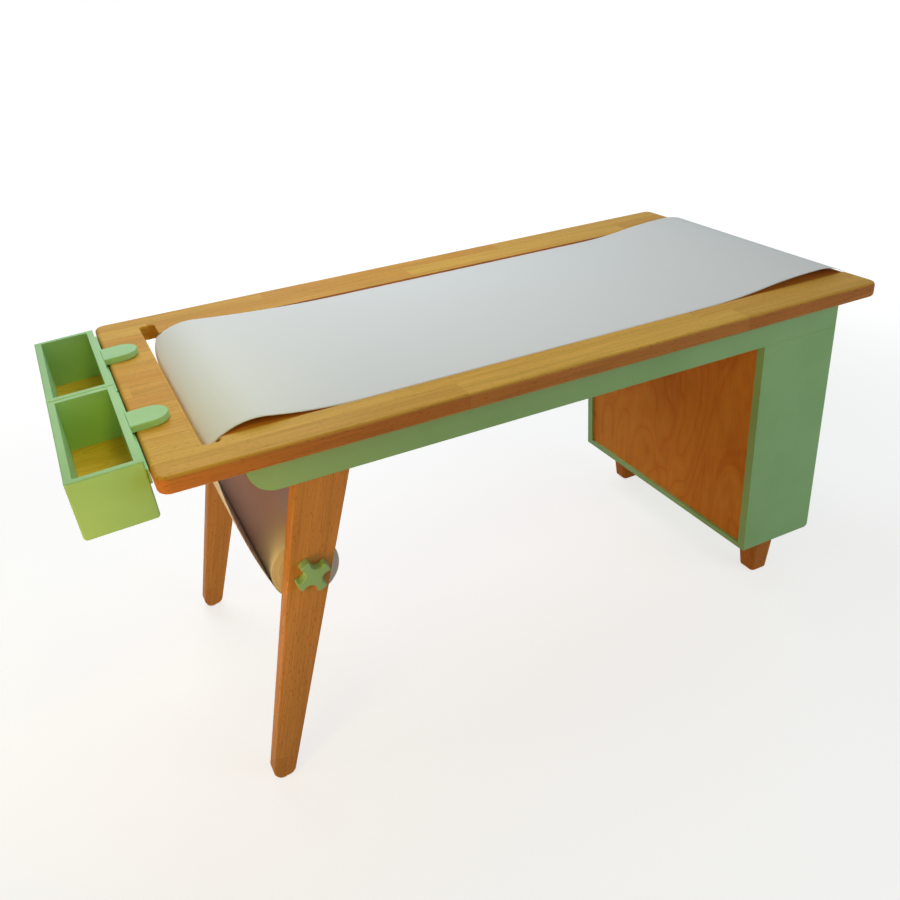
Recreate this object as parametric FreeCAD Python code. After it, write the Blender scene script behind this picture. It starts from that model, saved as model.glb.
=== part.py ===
import FreeCAD, Part
import math
import os

V = FreeCAD.Vector

# Children's drawing table with a paper roll. Millimetres, +Z up.
# While it is built, x runs from the left end of the top, y from its middle (near side negative),
# and z from the floor. At the end everything is shifted along x, so that the origin lies on the
# floor under the middle of the whole table.

# Table top
TOP_LENGTH = 1140.0
TOP_WIDTH = 600.0
TOP_THICKNESS = 24.0
TABLE_HEIGHT = 575.0
TOP_CORNER_RADIUS = 16.0
TOP_EDGE_ROUND = 6.0
NEAR_RAIL_WIDTH = 69.0
FAR_RAIL_WIDTH = 100.0
CHANNEL_DEPTH = 3.0
SLOT_SETBACK = 67.0
SLOT_NEAR_OVERRUN = 10.0
SLOT_FAR_OVERRUN = 47.0
SLOT_CUTTER = 13.0
SLOT_PASS_STEP = 10.0
SLOT_EDGE_ROUND = 3.0

# Aprons under the long edges, and the cleats that carry them
APRON_SETBACK = 48.0
APRON_THICKNESS = 10.0
APRON_HEIGHT = 60.0
APRON_LEFT_SETBACK = 110.0
APRON_CORNER_RADIUS = 37.0
APRON_EDGE_ROUND = 0.5
CLEAT_SECTION = 20.0
CLEAT_END_GAP = 20.0

# Splayed legs at the left end
LEG_THICKNESS = 24.0
LEG_TOP_SETBACK = 181.0
LEG_TOP_WIDTH = 82.0
LEG_FOOT_SETBACK = 55.0
LEG_FOOT_WIDTH = 34.0
LEG_FOOT_RADIUS = 14.0
LEG_EDGE_ROUND = 2.0
GLIDE_THICKNESS = 3.0
GLIDE_DIAMETER = 20.0
GLIDE_EDGE_ROUND = 1.0
GLIDE_NAIL_DIAMETER = 3.0
GLIDE_NAIL_LENGTH = 14.0

# Cabinet at the right end
CABINET_DEPTH = 154.0
CABINET_END_SETBACK = 28.0
CABINET_SIDE_THICKNESS = 16.0
CABINET_PANEL_THICKNESS = 10.0
CABINET_CORNER_RADIUS = 8.0
CABINET_EDGE_ROUND = 2.0
BACK_THICKNESS = 6.0
BACK_INSET = 5.0
BACK_GROOVE_DEPTH = 4.0
SHELF_THICKNESS = 16.0
SHELF_HEIGHT = 215.0
SHELF_FRONT_SETBACK = 12.0
SHELF_GAP = 0.5
SHELF_PIN_DIAMETER = 5.0
SHELF_PIN_LENGTH = 16.0
SHELF_PIN_MARGIN = 30.0
DOWEL_DIAMETER = 6.0
DOWEL_DEPTH = 12.0
DOWEL_MARGIN = 35.0

# Stub feet under the cabinet
FOOT_HEIGHT = 90.0
FOOT_TOP_WIDTH = 50.0
FOOT_BOTTOM_WIDTH = 36.0
FOOT_CORNER_RADIUS = 8.0
FOOT_BOTTOM_ROUND = 4.0
FOOT_INSET = 47.0
FOOT_OFFSET = 2.5
FOOT_BOLT_DIAMETER = 8.0
FOOT_BOLT_DEPTH = 45.0
FOOT_BOLT_RISE = 11.0
FOOT_NUT_WIDTH = 13.0
FOOT_NUT_HEIGHT = 6.5
FOOT_WASHER_DIAMETER = 20.0
FOOT_WASHER_THICKNESS = 1.6
FOOT_WASHER_BORE = 8.4

# Axle, knobs and paper roll between the legs
AXLE_DROP = 223.0
AXLE_DIAMETER = 20.0
AXLE_CLEARANCE = 0.05
AXLE_SHOULDER = 0.5
SPIGOT_DIAMETER = 12.0
SPIGOT_LENGTH = 11.0
KNOB_DIAMETER = 50.0
KNOB_THICKNESS = 16.0
KNOB_SCOOP_RADIUS = 10.0
KNOB_WAIST = 25.0
KNOB_LOBE_ROUND = 2.5
KNOB_EDGE_ROUND = 2.0
KNOB_TURN = 25.0
KNOB_LOBES = 4
CORE_BORE = 41.0
CORE_WALL = 2.5
CORE_SEAT_GAP = 0.2
ROLL_DIAMETER = 98.0
PAPER_NEAR_GAP = 5.0
PAPER_FAR_GAP = 1.5

# Paper sheet, from the roll up through the slot, along the channel and over the right end
SHEET_THICKNESS = 0.4
SHEET_ROLL_GAP = 0.3
WEB_BULGE_RADIUS = 1000.0
LOOP_RADIUS = 11.3
LOOP_TURN = 36.0
ARCH_RADIUS = 97.0
ARCH_HEIGHT = 10.2
ARCH_CREST_SETBACK = 140.0
ARCH_FOOT_SETBACK = 320.0
LIFT_SETBACK = 270.0
END_CREST_HEIGHT = 11.0
END_CREST_SETBACK = 51.0
END_DROP_RADIUS = 118.0

# Hanging boxes at the left end
BOX_SIDE_SETBACK = 40.0
BOX_WIDTH = 90.6
BOX_HEIGHT = 79.0
BOX_WALL = 10.0
BOX_FLOOR_THICKNESS = 4.0
BOX_CORNER_ROUND = 5.0
BOX_RIM_ROUND = 2.0
BOX_SPACING = 1.0
BOX_END_GAP = 4.4
BOX_SEAT_GAP = 0.1
BOX_TILT = 2.4
TONGUE_WIDTH = 50.0
TONGUE_REACH = 52.4
TONGUE_THICKNESS = 9.0
TONGUE_EDGE_ROUND = 1.5
STRIP_THICKNESS = 3.0
STRIP_HEIGHT = 20.0
STRIP_DROP = 12.0
STRIP_END_GAP = 2.0
PEG_DIAMETER = 8.0
PEG_DEPTH_IN_TONGUE = 5.0
PEG_DROP = 12.0
PEG_SLACK = 1.2
PEG_HOLE_DEPTH = 14.0

# Countersunk screws
SCREW_SHANK = 4.0
SCREW_HEAD = 8.0
SCREW_HEAD_HEIGHT = 2.4
SCREW_BITE_APRON = 6.0
SCREW_BITE_TOP = 14.0
LEG_SCREW_MARGIN = 16.0
CABINET_SCREW_MARGIN = 40.0
CLEAT_SCREW_COUNT = 4
CLEAT_SCREW_STAGGER = 40.0

# Planes and places that follow from the sizes above
UNDERSIDE_Z = TABLE_HEIGHT - TOP_THICKNESS
CHANNEL_Z = TABLE_HEIGHT - CHANNEL_DEPTH
CHANNEL_NEAR_Y = NEAR_RAIL_WIDTH - TOP_WIDTH / 2
CHANNEL_FAR_Y = TOP_WIDTH / 2 - FAR_RAIL_WIDTH
PAPER_NEAR_Y = CHANNEL_NEAR_Y + PAPER_NEAR_GAP
PAPER_WIDTH = CHANNEL_FAR_Y - PAPER_FAR_GAP - PAPER_NEAR_Y
BOX_LENGTH = (TOP_WIDTH - BOX_SPACING) / 2 - BOX_SIDE_SETBACK
APRON_BOTTOM_Z = UNDERSIDE_Z - APRON_HEIGHT
APRON_FACE_Y = TOP_WIDTH / 2 - APRON_SETBACK
APRON_BACK_Y = APRON_FACE_Y - APRON_THICKNESS
LEG_BACK_Y = APRON_FACE_Y - LEG_THICKNESS
CABINET_RIGHT_X = TOP_LENGTH - CABINET_END_SETBACK
CABINET_LEFT_X = CABINET_RIGHT_X - CABINET_DEPTH
CLEAT_LEFT_X = LEG_TOP_SETBACK + LEG_TOP_WIDTH + CLEAT_END_GAP
CLEAT_RIGHT_X = CABINET_LEFT_X - CLEAT_END_GAP
CABINET_MIDDLE_X = (CABINET_LEFT_X + CABINET_RIGHT_X) / 2
CABINET_INNER_Y = APRON_FACE_Y - CABINET_SIDE_THICKNESS
CABINET_FLOOR_Z = FOOT_HEIGHT + CABINET_PANEL_THICKNESS
CABINET_CEILING_Z = UNDERSIDE_Z - CABINET_PANEL_THICKNESS
BACK_INNER_X = CABINET_LEFT_X + BACK_INSET + BACK_THICKNESS
PANEL_FRONT_X = CABINET_RIGHT_X - CABINET_CORNER_RADIUS
FOOT_X = CABINET_MIDDLE_X - FOOT_OFFSET
FOOT_Y = APRON_FACE_Y - FOOT_INSET
AXLE_Z = TABLE_HEIGHT - AXLE_DROP
ROLL_Z = AXLE_Z - (CORE_BORE - AXLE_DIAMETER) / 2 + CORE_SEAT_GAP
TOLERANCE = 1e-4
BREAKTHROUGH = 1.0


def leg_left(z):
    """x of the leg's left edge at height z."""
    return LEG_FOOT_SETBACK + (LEG_TOP_SETBACK - LEG_FOOT_SETBACK) * z / UNDERSIDE_Z


def leg_right(z):
    """x of the leg's right edge at height z."""
    top = LEG_TOP_SETBACK + LEG_TOP_WIDTH
    foot = LEG_FOOT_SETBACK + LEG_FOOT_WIDTH
    return foot + (top - foot) * z / UNDERSIDE_Z


def leg_middle(z):
    """x of the leg's middle line at height z."""
    return (leg_left(z) + leg_right(z)) / 2


AXLE_X = leg_middle(AXLE_Z)


def block(x0, x1, y0, y1, z0, z1):
    """A box between two corners."""
    return Part.makeBox(x1 - x0, y1 - y0, z1 - z0, V(x0, y0, z0))


def rod(radius, start, end):
    """A round bar from one point to another."""
    axis = end - start
    return Part.makeCylinder(radius, axis.Length, start, axis)


def mirrored(shape):
    """The same piece on the other long side of the table."""
    return shape.mirror(V(0, 0, 0), V(0, 1, 0))


def both_sides(shapes):
    """Pieces of the near side together with their mirror images."""
    return shapes + [mirrored(shape) for shape in shapes]


def is_upright(edge):
    """True for an edge that runs along z."""
    box = edge.BoundBox
    return box.XLength < TOLERANCE and box.YLength < TOLERANCE


def runs_across(edge):
    """True for an edge that runs along y."""
    box = edge.BoundBox
    return box.XLength < TOLERANCE and box.ZLength < TOLERANCE


def at_height(edge, z):
    """True for an edge that lies in the level plane at z."""
    box = edge.BoundBox
    return abs(box.ZMin - z) < TOLERANCE and abs(box.ZMax - z) < TOLERANCE


def at_depth(edge, y):
    """True for an edge that lies in the upright plane at y."""
    box = edge.BoundBox
    return abs(box.YMin - y) < TOLERANCE and abs(box.YMax - y) < TOLERANCE


def at_length(edge, x):
    """True for an edge that lies in the upright plane at x."""
    box = edge.BoundBox
    return abs(box.XMin - x) < TOLERANCE and abs(box.XMax - x) < TOLERANCE


def rounded(shape, radius, wanted):
    """The shape with every edge that passes the test rounded."""
    edges = [edge for edge in shape.Edges if wanted(edge)]
    return shape.makeFillet(radius, edges)


def without(shape, tools):
    """The shape with a list of other shapes cut out of it."""
    return shape.cut(Part.makeCompound(tools))


def screw(head_point, direction, length):
    """A countersunk screw, with its flat head at a point, driven along a direction."""
    head = Part.makeCone(SCREW_HEAD / 2, SCREW_SHANK / 2, SCREW_HEAD_HEIGHT, head_point, direction)
    neck = head_point + direction * SCREW_HEAD_HEIGHT
    shank = rod(SCREW_SHANK / 2, neck, head_point + direction * length)
    return head.fuse(shank).removeSplitter()


def evenly(start, end, count):
    """Points in the middle of equal steps between two values."""
    step = (end - start) / count
    return [start + step * (index + 0.5) for index in range(count)]


# Table top


def slot_pass(middle_x):
    """One straight pass of the cutter that makes the paper slot, right through the top."""
    radius = SLOT_CUTTER / 2
    near_y = CHANNEL_NEAR_Y - SLOT_NEAR_OVERRUN + radius
    far_y = CHANNEL_FAR_Y + SLOT_FAR_OVERRUN - radius
    low = UNDERSIDE_Z - BREAKTHROUGH
    high = TABLE_HEIGHT + BREAKTHROUGH
    straight = block(middle_x - radius, middle_x + radius, near_y, far_y, low, high)
    ends = [rod(radius, V(middle_x, y, low), V(middle_x, y, high)) for y in (near_y, far_y)]
    return straight.multiFuse(ends).removeSplitter()


def slot_flare(cutter_pass, high):
    """What is taken off round one cutter pass to round the edge at its mouth, at a height."""
    box = cutter_pass.BoundBox
    margin = 2 * SLOT_EDGE_ROUND
    plate = block(box.XMin - margin, box.XMax + margin, box.YMin - margin, box.YMax + margin,
                  high - margin, high)
    mouth = rounded(plate.cut(cutter_pass), SLOT_EDGE_ROUND,
                    lambda edge: at_height(edge, high)
                    and edge.BoundBox.XMin > box.XMin - TOLERANCE
                    and edge.BoundBox.XMax < box.XMax + TOLERANCE)
    return plate.cut(mouth)


def table_top(fittings):
    """One glued board: rounded outline, slot of two cutter passes, channel out to the right end."""
    half = TOP_WIDTH / 2
    board = block(0, TOP_LENGTH, -half, half, UNDERSIDE_Z, TABLE_HEIGHT)
    board = rounded(board, TOP_CORNER_RADIUS, is_upright)
    board = rounded(board, TOP_EDGE_ROUND,
                    lambda edge: at_height(edge, TABLE_HEIGHT) or at_height(edge, UNDERSIDE_Z))
    first_x = SLOT_SETBACK + SLOT_CUTTER / 2
    second_x = first_x + SLOT_PASS_STEP
    for middle_x in (first_x, second_x):
        cutter_pass = slot_pass(middle_x)
        board = board.cut(slot_flare(cutter_pass, TABLE_HEIGHT)).cut(cutter_pass)
    channel = block(second_x, TOP_LENGTH + BREAKTHROUGH, CHANNEL_NEAR_Y, CHANNEL_FAR_Y,
                    CHANNEL_Z, TABLE_HEIGHT + BREAKTHROUGH)
    floor_edge = slot_flare(slot_pass(second_x), CHANNEL_Z)
    floor_edge = floor_edge.common(block(second_x, TOP_LENGTH, CHANNEL_NEAR_Y, CHANNEL_FAR_Y,
                                         UNDERSIDE_Z, TABLE_HEIGHT))
    return without(board.cut(channel).cut(floor_edge), fittings)


# Near side frame: apron, cleat, leg. The far side is its mirror image.


def near_apron(fittings):
    """Long board under the near edge, with one large rounded corner at its lower left."""
    board = block(APRON_LEFT_SETBACK, CABINET_RIGHT_X, -APRON_FACE_Y, -APRON_BACK_Y,
                  APRON_BOTTOM_Z, UNDERSIDE_Z)
    board = rounded(board, APRON_CORNER_RADIUS,
                    lambda edge: runs_across(edge) and at_length(edge, APRON_LEFT_SETBACK)
                    and at_height(edge, APRON_BOTTOM_Z))
    board = rounded(board, CABINET_EDGE_ROUND,
                    lambda edge: at_depth(edge, -APRON_FACE_Y) and at_length(edge, CABINET_RIGHT_X))
    board = rounded(board, APRON_EDGE_ROUND,
                    lambda edge: at_depth(edge, -APRON_FACE_Y)
                    and not at_height(edge, UNDERSIDE_Z)
                    and not at_length(edge, CABINET_RIGHT_X - CABINET_EDGE_ROUND))
    return without(board, fittings)


def near_cleat(fittings):
    """Square batten in the corner between apron and top."""
    batten = block(CLEAT_LEFT_X, CLEAT_RIGHT_X, -APRON_BACK_Y, CLEAT_SECTION - APRON_BACK_Y,
                   UNDERSIDE_Z - CLEAT_SECTION, UNDERSIDE_Z)
    return without(batten, fittings)


def near_leg(fittings):
    """Tapered leg that leans outwards, lapped behind the apron, with a rounded foot."""
    corners = [V(leg_left(GLIDE_THICKNESS), -APRON_FACE_Y, GLIDE_THICKNESS),
               V(leg_right(GLIDE_THICKNESS), -APRON_FACE_Y, GLIDE_THICKNESS),
               V(leg_right(UNDERSIDE_Z), -APRON_FACE_Y, UNDERSIDE_Z),
               V(leg_left(UNDERSIDE_Z), -APRON_FACE_Y, UNDERSIDE_Z)]
    outline = Part.makePolygon(corners + corners[:1])
    leg = Part.Face(outline).extrude(V(0, LEG_THICKNESS, 0))
    leg = rounded(leg, LEG_FOOT_RADIUS,
                  lambda edge: runs_across(edge) and at_height(edge, GLIDE_THICKNESS))
    leg = rounded(leg, LEG_EDGE_ROUND,
                  lambda edge: not runs_across(edge) and not at_height(edge, UNDERSIDE_Z))
    lap = block(0, TOP_LENGTH, -APRON_FACE_Y - BREAKTHROUGH, -APRON_BACK_Y, APRON_BOTTOM_Z,
                UNDERSIDE_Z + BREAKTHROUGH)
    bore = rod(AXLE_DIAMETER / 2 + AXLE_CLEARANCE, V(AXLE_X, -APRON_FACE_Y - BREAKTHROUGH, AXLE_Z),
               V(AXLE_X, BREAKTHROUGH - LEG_BACK_Y, AXLE_Z))
    return without(leg, fittings + [lap, bore])


def glide(x, y):
    """Round pad with a nail, between a foot and the floor."""
    pad = rod(GLIDE_DIAMETER / 2, V(x, y, 0), V(x, y, GLIDE_THICKNESS))
    pad = rounded(pad, GLIDE_EDGE_ROUND, lambda edge: at_height(edge, 0))
    nail = rod(GLIDE_NAIL_DIAMETER / 2, V(x, y, GLIDE_THICKNESS),
               V(x, y, GLIDE_THICKNESS + GLIDE_NAIL_LENGTH))
    return pad.fuse(nail)


# Screws of the near side


def near_leg_screws():
    """Two screws from the leg's lap into the apron."""
    length = APRON_BACK_Y - LEG_BACK_Y + SCREW_BITE_APRON
    heights = (APRON_BOTTOM_Z + LEG_SCREW_MARGIN, UNDERSIDE_Z - LEG_SCREW_MARGIN)
    return [screw(V(leg_middle(z), -LEG_BACK_Y, z), V(0, -1, 0), length) for z in heights]


def near_cabinet_screws():
    """Two screws from the cabinet side's lap into the apron."""
    length = APRON_BACK_Y - CABINET_INNER_Y + SCREW_BITE_APRON
    places = (CABINET_LEFT_X + CABINET_SCREW_MARGIN, CABINET_RIGHT_X - CABINET_SCREW_MARGIN)
    z = APRON_BOTTOM_Z + APRON_HEIGHT / 2
    return [screw(V(x, -CABINET_INNER_Y, z), V(0, -1, 0), length) for x in places]


def near_cleat_places(offset):
    """Screw places along the cleat, offset so that the two rows miss each other."""
    places = evenly(CLEAT_LEFT_X, CLEAT_RIGHT_X, CLEAT_SCREW_COUNT)
    return [x + offset for x in places]


def near_cleat_apron_screws():
    """Screws from the cleat sideways into the apron."""
    y = CLEAT_SECTION - APRON_BACK_Y
    z = UNDERSIDE_Z - CLEAT_SECTION / 2
    return [screw(V(x, y, z), V(0, -1, 0), CLEAT_SECTION + SCREW_BITE_APRON)
            for x in near_cleat_places(CLEAT_SCREW_STAGGER)]


def near_cleat_top_screws():
    """Screws from the cleat up into the top."""
    y = CLEAT_SECTION / 2 - APRON_BACK_Y
    z = UNDERSIDE_Z - CLEAT_SECTION
    return [screw(V(x, y, z), V(0, 0, 1), CLEAT_SECTION + SCREW_BITE_TOP)
            for x in near_cleat_places(-CLEAT_SCREW_STAGGER)]


def near_cabinet_top_screws():
    """Screws from the cabinet's top panel up into the table top."""
    x = CABINET_MIDDLE_X
    y = CABINET_SCREW_MARGIN - CABINET_INNER_Y
    return [screw(V(x, y, CABINET_CEILING_Z), V(0, 0, 1), CABINET_PANEL_THICKNESS + SCREW_BITE_TOP)]


# Cabinet


def back_panel():
    """Ply panel on the knee side, held in grooves all round."""
    return block(CABINET_LEFT_X + BACK_INSET, BACK_INNER_X,
                 -CABINET_INNER_Y - BACK_GROOVE_DEPTH, CABINET_INNER_Y + BACK_GROOVE_DEPTH,
                 CABINET_FLOOR_Z - BACK_GROOVE_DEPTH, CABINET_CEILING_Z + BACK_GROOVE_DEPTH)


def near_shelf_pins():
    """Two pins in the near side panel that carry the shelf."""
    z = CABINET_FLOOR_Z + SHELF_HEIGHT - SHELF_PIN_DIAMETER / 2
    half = SHELF_PIN_LENGTH / 2
    places = (BACK_INNER_X + SHELF_PIN_MARGIN, CABINET_RIGHT_X - SHELF_PIN_MARGIN)
    return [rod(SHELF_PIN_DIAMETER / 2, V(x, -CABINET_INNER_Y - half, z), V(x, half - CABINET_INNER_Y, z))
            for x in places]


def near_dowels():
    """Two dowels between the near side panel and the bottom panel."""
    z = FOOT_HEIGHT + CABINET_PANEL_THICKNESS / 2
    places = (CABINET_LEFT_X + DOWEL_MARGIN, PANEL_FRONT_X - DOWEL_MARGIN)
    return [rod(DOWEL_DIAMETER / 2, V(x, -CABINET_INNER_Y - DOWEL_DEPTH, z),
                V(x, DOWEL_DEPTH - CABINET_INNER_Y, z)) for x in places]


def near_cabinet_side(fittings):
    """Side panel, flush with the apron's face and lapped behind it."""
    panel = block(CABINET_LEFT_X, CABINET_RIGHT_X, -APRON_FACE_Y, -CABINET_INNER_Y,
                  FOOT_HEIGHT, UNDERSIDE_Z)
    panel = rounded(panel, CABINET_CORNER_RADIUS,
                    lambda edge: runs_across(edge) and at_height(edge, FOOT_HEIGHT)
                    and at_length(edge, CABINET_RIGHT_X))
    panel = rounded(panel, CABINET_EDGE_ROUND,
                    lambda edge: at_depth(edge, -APRON_FACE_Y) and at_height(edge, FOOT_HEIGHT))
    lap = block(0, TOP_LENGTH, -APRON_FACE_Y - BREAKTHROUGH, -APRON_BACK_Y, APRON_BOTTOM_Z,
                UNDERSIDE_Z + BREAKTHROUGH)
    return without(panel, fittings + [lap])


def level_panel(bottom, fittings):
    """Bottom or top panel between the two side panels."""
    panel = block(CABINET_LEFT_X, PANEL_FRONT_X, -CABINET_INNER_Y, CABINET_INNER_Y,
                  bottom, bottom + CABINET_PANEL_THICKNESS)
    return without(panel, fittings)


def shelf():
    """Loose shelf on its pins, just clear of the panels round it."""
    bottom = CABINET_FLOOR_Z + SHELF_HEIGHT
    return block(BACK_INNER_X + SHELF_GAP, CABINET_RIGHT_X - SHELF_FRONT_SETBACK,
                 SHELF_GAP - CABINET_INNER_Y, CABINET_INNER_Y - SHELF_GAP,
                 bottom, bottom + SHELF_THICKNESS)


# Stub feet


def rounded_square(width, radius, z):
    """Level square outline with round corners, about the near foot's middle."""
    half = width / 2
    plate = block(FOOT_X - half, FOOT_X + half, -FOOT_Y - half, half - FOOT_Y, z, z + BREAKTHROUGH)
    plate = rounded(plate, radius, is_upright)
    bottom = [face for face in plate.Faces if abs(face.BoundBox.ZMax - z) < TOLERANCE]
    return bottom[0].OuterWire


def near_foot(fittings):
    """Tapered square foot with rounded edges."""
    low = rounded_square(FOOT_BOTTOM_WIDTH, FOOT_CORNER_RADIUS, GLIDE_THICKNESS)
    high = rounded_square(FOOT_TOP_WIDTH, FOOT_CORNER_RADIUS, FOOT_HEIGHT)
    foot = Part.makeLoft([low, high], True, True)
    foot = rounded(foot, FOOT_BOTTOM_ROUND, lambda edge: at_height(edge, GLIDE_THICKNESS))
    return without(foot, fittings)


def near_foot_bolt():
    """Hanger bolt from the foot up through the bottom panel."""
    return rod(FOOT_BOLT_DIAMETER / 2, V(FOOT_X, -FOOT_Y, FOOT_HEIGHT - FOOT_BOLT_DEPTH),
               V(FOOT_X, -FOOT_Y, CABINET_FLOOR_Z + FOOT_BOLT_RISE))


def near_foot_washer():
    """Washer on the bottom panel."""
    low = V(FOOT_X, -FOOT_Y, CABINET_FLOOR_Z)
    high = low + V(0, 0, FOOT_WASHER_THICKNESS)
    return rod(FOOT_WASHER_DIAMETER / 2, low, high).cut(rod(FOOT_WASHER_BORE / 2, low, high))


def near_foot_nut(bolt):
    """Six-sided nut on the washer."""
    radius = FOOT_NUT_WIDTH / math.sqrt(3)
    z = CABINET_FLOOR_Z + FOOT_WASHER_THICKNESS
    corners = [V(FOOT_X + radius * math.cos(math.radians(60 * index)),
                 radius * math.sin(math.radians(60 * index)) - FOOT_Y, z) for index in range(7)]
    blank = Part.Face(Part.makePolygon(corners)).extrude(V(0, 0, FOOT_NUT_HEIGHT))
    return blank.cut(bolt)


# Axle, knobs and paper roll


def axle():
    """Dowel through both legs, turned down at its ends for the knobs."""
    reach = APRON_FACE_Y + AXLE_SHOULDER
    body = rod(AXLE_DIAMETER / 2, V(AXLE_X, -reach, AXLE_Z), V(AXLE_X, reach, AXLE_Z))
    tip = reach + SPIGOT_LENGTH
    spigot = rod(SPIGOT_DIAMETER / 2, V(AXLE_X, -tip, AXLE_Z), V(AXLE_X, tip, AXLE_Z))
    return body.fuse(spigot).removeSplitter()


def near_knob(axle_shape):
    """Round knob with a scoop between each two lobes, pushed onto the axle's end."""
    back = -APRON_FACE_Y - AXLE_SHOULDER
    front = back - KNOB_THICKNESS
    disc = rod(KNOB_DIAMETER / 2, V(AXLE_X, back, AXLE_Z), V(AXLE_X, front, AXLE_Z))
    reach = KNOB_WAIST / 2 + KNOB_SCOOP_RADIUS
    scoops = []
    for index in range(KNOB_LOBES):
        angle = math.radians(KNOB_TURN + 360 / KNOB_LOBES * (index + 0.5))
        x = AXLE_X + reach * math.cos(angle)
        z = AXLE_Z + reach * math.sin(angle)
        scoops.append(rod(KNOB_SCOOP_RADIUS, V(x, back + BREAKTHROUGH, z), V(x, front - BREAKTHROUGH, z)))
    knob = without(disc, scoops)
    knob = rounded(knob, KNOB_LOBE_ROUND,
                   lambda edge: runs_across(edge) and len(edge.Vertexes) == 2)
    knob = rounded(knob, KNOB_EDGE_ROUND, lambda edge: at_depth(edge, front) or at_depth(edge, back))
    return knob.cut(axle_shape)


def wound(inner, outer):
    """A tube about the roll's axis, as long as the paper is wide."""
    start = V(AXLE_X, PAPER_NEAR_Y, ROLL_Z)
    end = V(AXLE_X, PAPER_NEAR_Y + PAPER_WIDTH, ROLL_Z)
    return rod(outer / 2, start, end).cut(rod(inner / 2, start, end))


# Paper sheet: a side profile of straight runs and tangent arcs, as wide as the paper


def profile_point(x, z):
    """A point of the sheet's profile, on the paper's near edge."""
    return V(x, PAPER_NEAR_Y, z)


def on_circle(centre, radius, degrees):
    """A point on a circle of the profile."""
    angle = math.radians(degrees)
    return profile_point(centre[0] + radius * math.cos(angle), centre[1] + radius * math.sin(angle))


def run_edge(run, offset):
    """Edge of a straight run, moved to the left of its heading by an offset."""
    start, end = run
    heading_x = end[0] - start[0]
    heading_z = end[1] - start[1]
    length = math.hypot(heading_x, heading_z)
    shift_x = -heading_z / length * offset
    shift_z = heading_x / length * offset
    return Part.LineSegment(profile_point(start[0] + shift_x, start[1] + shift_z),
                            profile_point(end[0] + shift_x, end[1] + shift_z)).toShape()


def arc_edge(arc, offset):
    """Edge of an arc given by centre, radius and two angles, moved to the left of its heading."""
    centre, radius, start, end = arc
    turned_left = end > start
    moved = radius - offset if turned_left else radius + offset
    middle = (start + end) / 2
    return Part.Arc(on_circle(centre, moved, start), on_circle(centre, moved, middle),
                    on_circle(centre, moved, end)).toShape()


def s_bend(start, end):
    """Two equal arcs that rise from one level run to a higher one."""
    run = end[0] - start[0]
    rise = end[1] - start[1]
    radius = (run ** 2 + rise ** 2) / (4 * rise)
    turn = math.degrees(math.asin(run / 2 / radius))
    return [((start[0], start[1] + radius), radius, 270, 270 + turn),
            ((end[0], end[1] - radius), radius, 90 + turn, 90)]


def arch_tail(crest, foot):
    """The rest of the arch after its crest, and the wide arc that lays it down on the floor."""
    run = foot[0] - crest[0]
    drop = crest[1] - foot[1]
    both_radii = (run ** 2 + drop ** 2) / (2 * drop)
    turn = math.degrees(math.asin(run / both_radii))
    tail_radius = both_radii - ARCH_RADIUS
    return [((crest[0], crest[1] - ARCH_RADIUS), ARCH_RADIUS, 90, 90 - turn),
            ((foot[0], foot[1] + tail_radius), tail_radius, 270 - turn, 270)]


def web_bulge_centre(loop_centre):
    """Centre of the wide arc that touches the roll's outside and the loop at the slot."""
    wrap = ROLL_DIAMETER / 2 + SHEET_ROLL_GAP + SHEET_THICKNESS / 2
    across = loop_centre[0] - AXLE_X
    upward = loop_centre[1] - ROLL_Z
    distance = math.hypot(across, upward)
    to_roll = WEB_BULGE_RADIUS - wrap
    to_loop = WEB_BULGE_RADIUS - LOOP_RADIUS
    along = (to_roll ** 2 - to_loop ** 2 + distance ** 2) / (2 * distance)
    aside = math.sqrt(to_roll ** 2 - along ** 2)
    return (AXLE_X + (across * along + upward * aside) / distance,
            ROLL_Z + (upward * along - across * aside) / distance)


def sheet_pieces():
    """Straight runs (two points) and arcs (four values) of the sheet's middle line, in order."""
    floor_z = CHANNEL_Z + SHEET_THICKNESS / 2
    crest = (ARCH_CREST_SETBACK, TABLE_HEIGHT + ARCH_HEIGHT)
    arch_centre = (crest[0], crest[1] - ARCH_RADIUS)
    loop_end = 90 + LOOP_TURN
    toward = math.radians(loop_end)
    loop_centre = (arch_centre[0] + (ARCH_RADIUS - LOOP_RADIUS) * math.cos(toward),
                   arch_centre[1] + (ARCH_RADIUS - LOOP_RADIUS) * math.sin(toward))
    web_centre = web_bulge_centre(loop_centre)
    roll_side = math.degrees(math.atan2(ROLL_Z - web_centre[1], AXLE_X - web_centre[0])) % 360
    loop_side = math.degrees(math.atan2(loop_centre[1] - web_centre[1],
                                        loop_centre[0] - web_centre[0])) % 360
    arch_foot = (ARCH_FOOT_SETBACK, floor_z)
    lift = (TOP_LENGTH - LIFT_SETBACK, floor_z)
    end_crest = (TOP_LENGTH - END_CREST_SETBACK, TABLE_HEIGHT + END_CREST_HEIGHT)
    drop = math.degrees(math.asin(END_CREST_SETBACK / END_DROP_RADIUS))
    pieces = [(web_centre, WEB_BULGE_RADIUS, roll_side, loop_side),
              (loop_centre, LOOP_RADIUS, loop_side, loop_end),
              (arch_centre, ARCH_RADIUS, loop_end, 90)]
    pieces += arch_tail(crest, arch_foot)
    pieces.append((arch_foot, lift))
    pieces += s_bend(lift, end_crest)
    pieces.append(((end_crest[0], end_crest[1] - END_DROP_RADIUS), END_DROP_RADIUS, 90, 90 - drop))
    return pieces


def sheet_side(offset):
    """Edges of the sheet's profile at an offset from its middle line."""
    return [run_edge(piece, offset) if len(piece) == 2 else arc_edge(piece, offset)
            for piece in sheet_pieces()]


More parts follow.
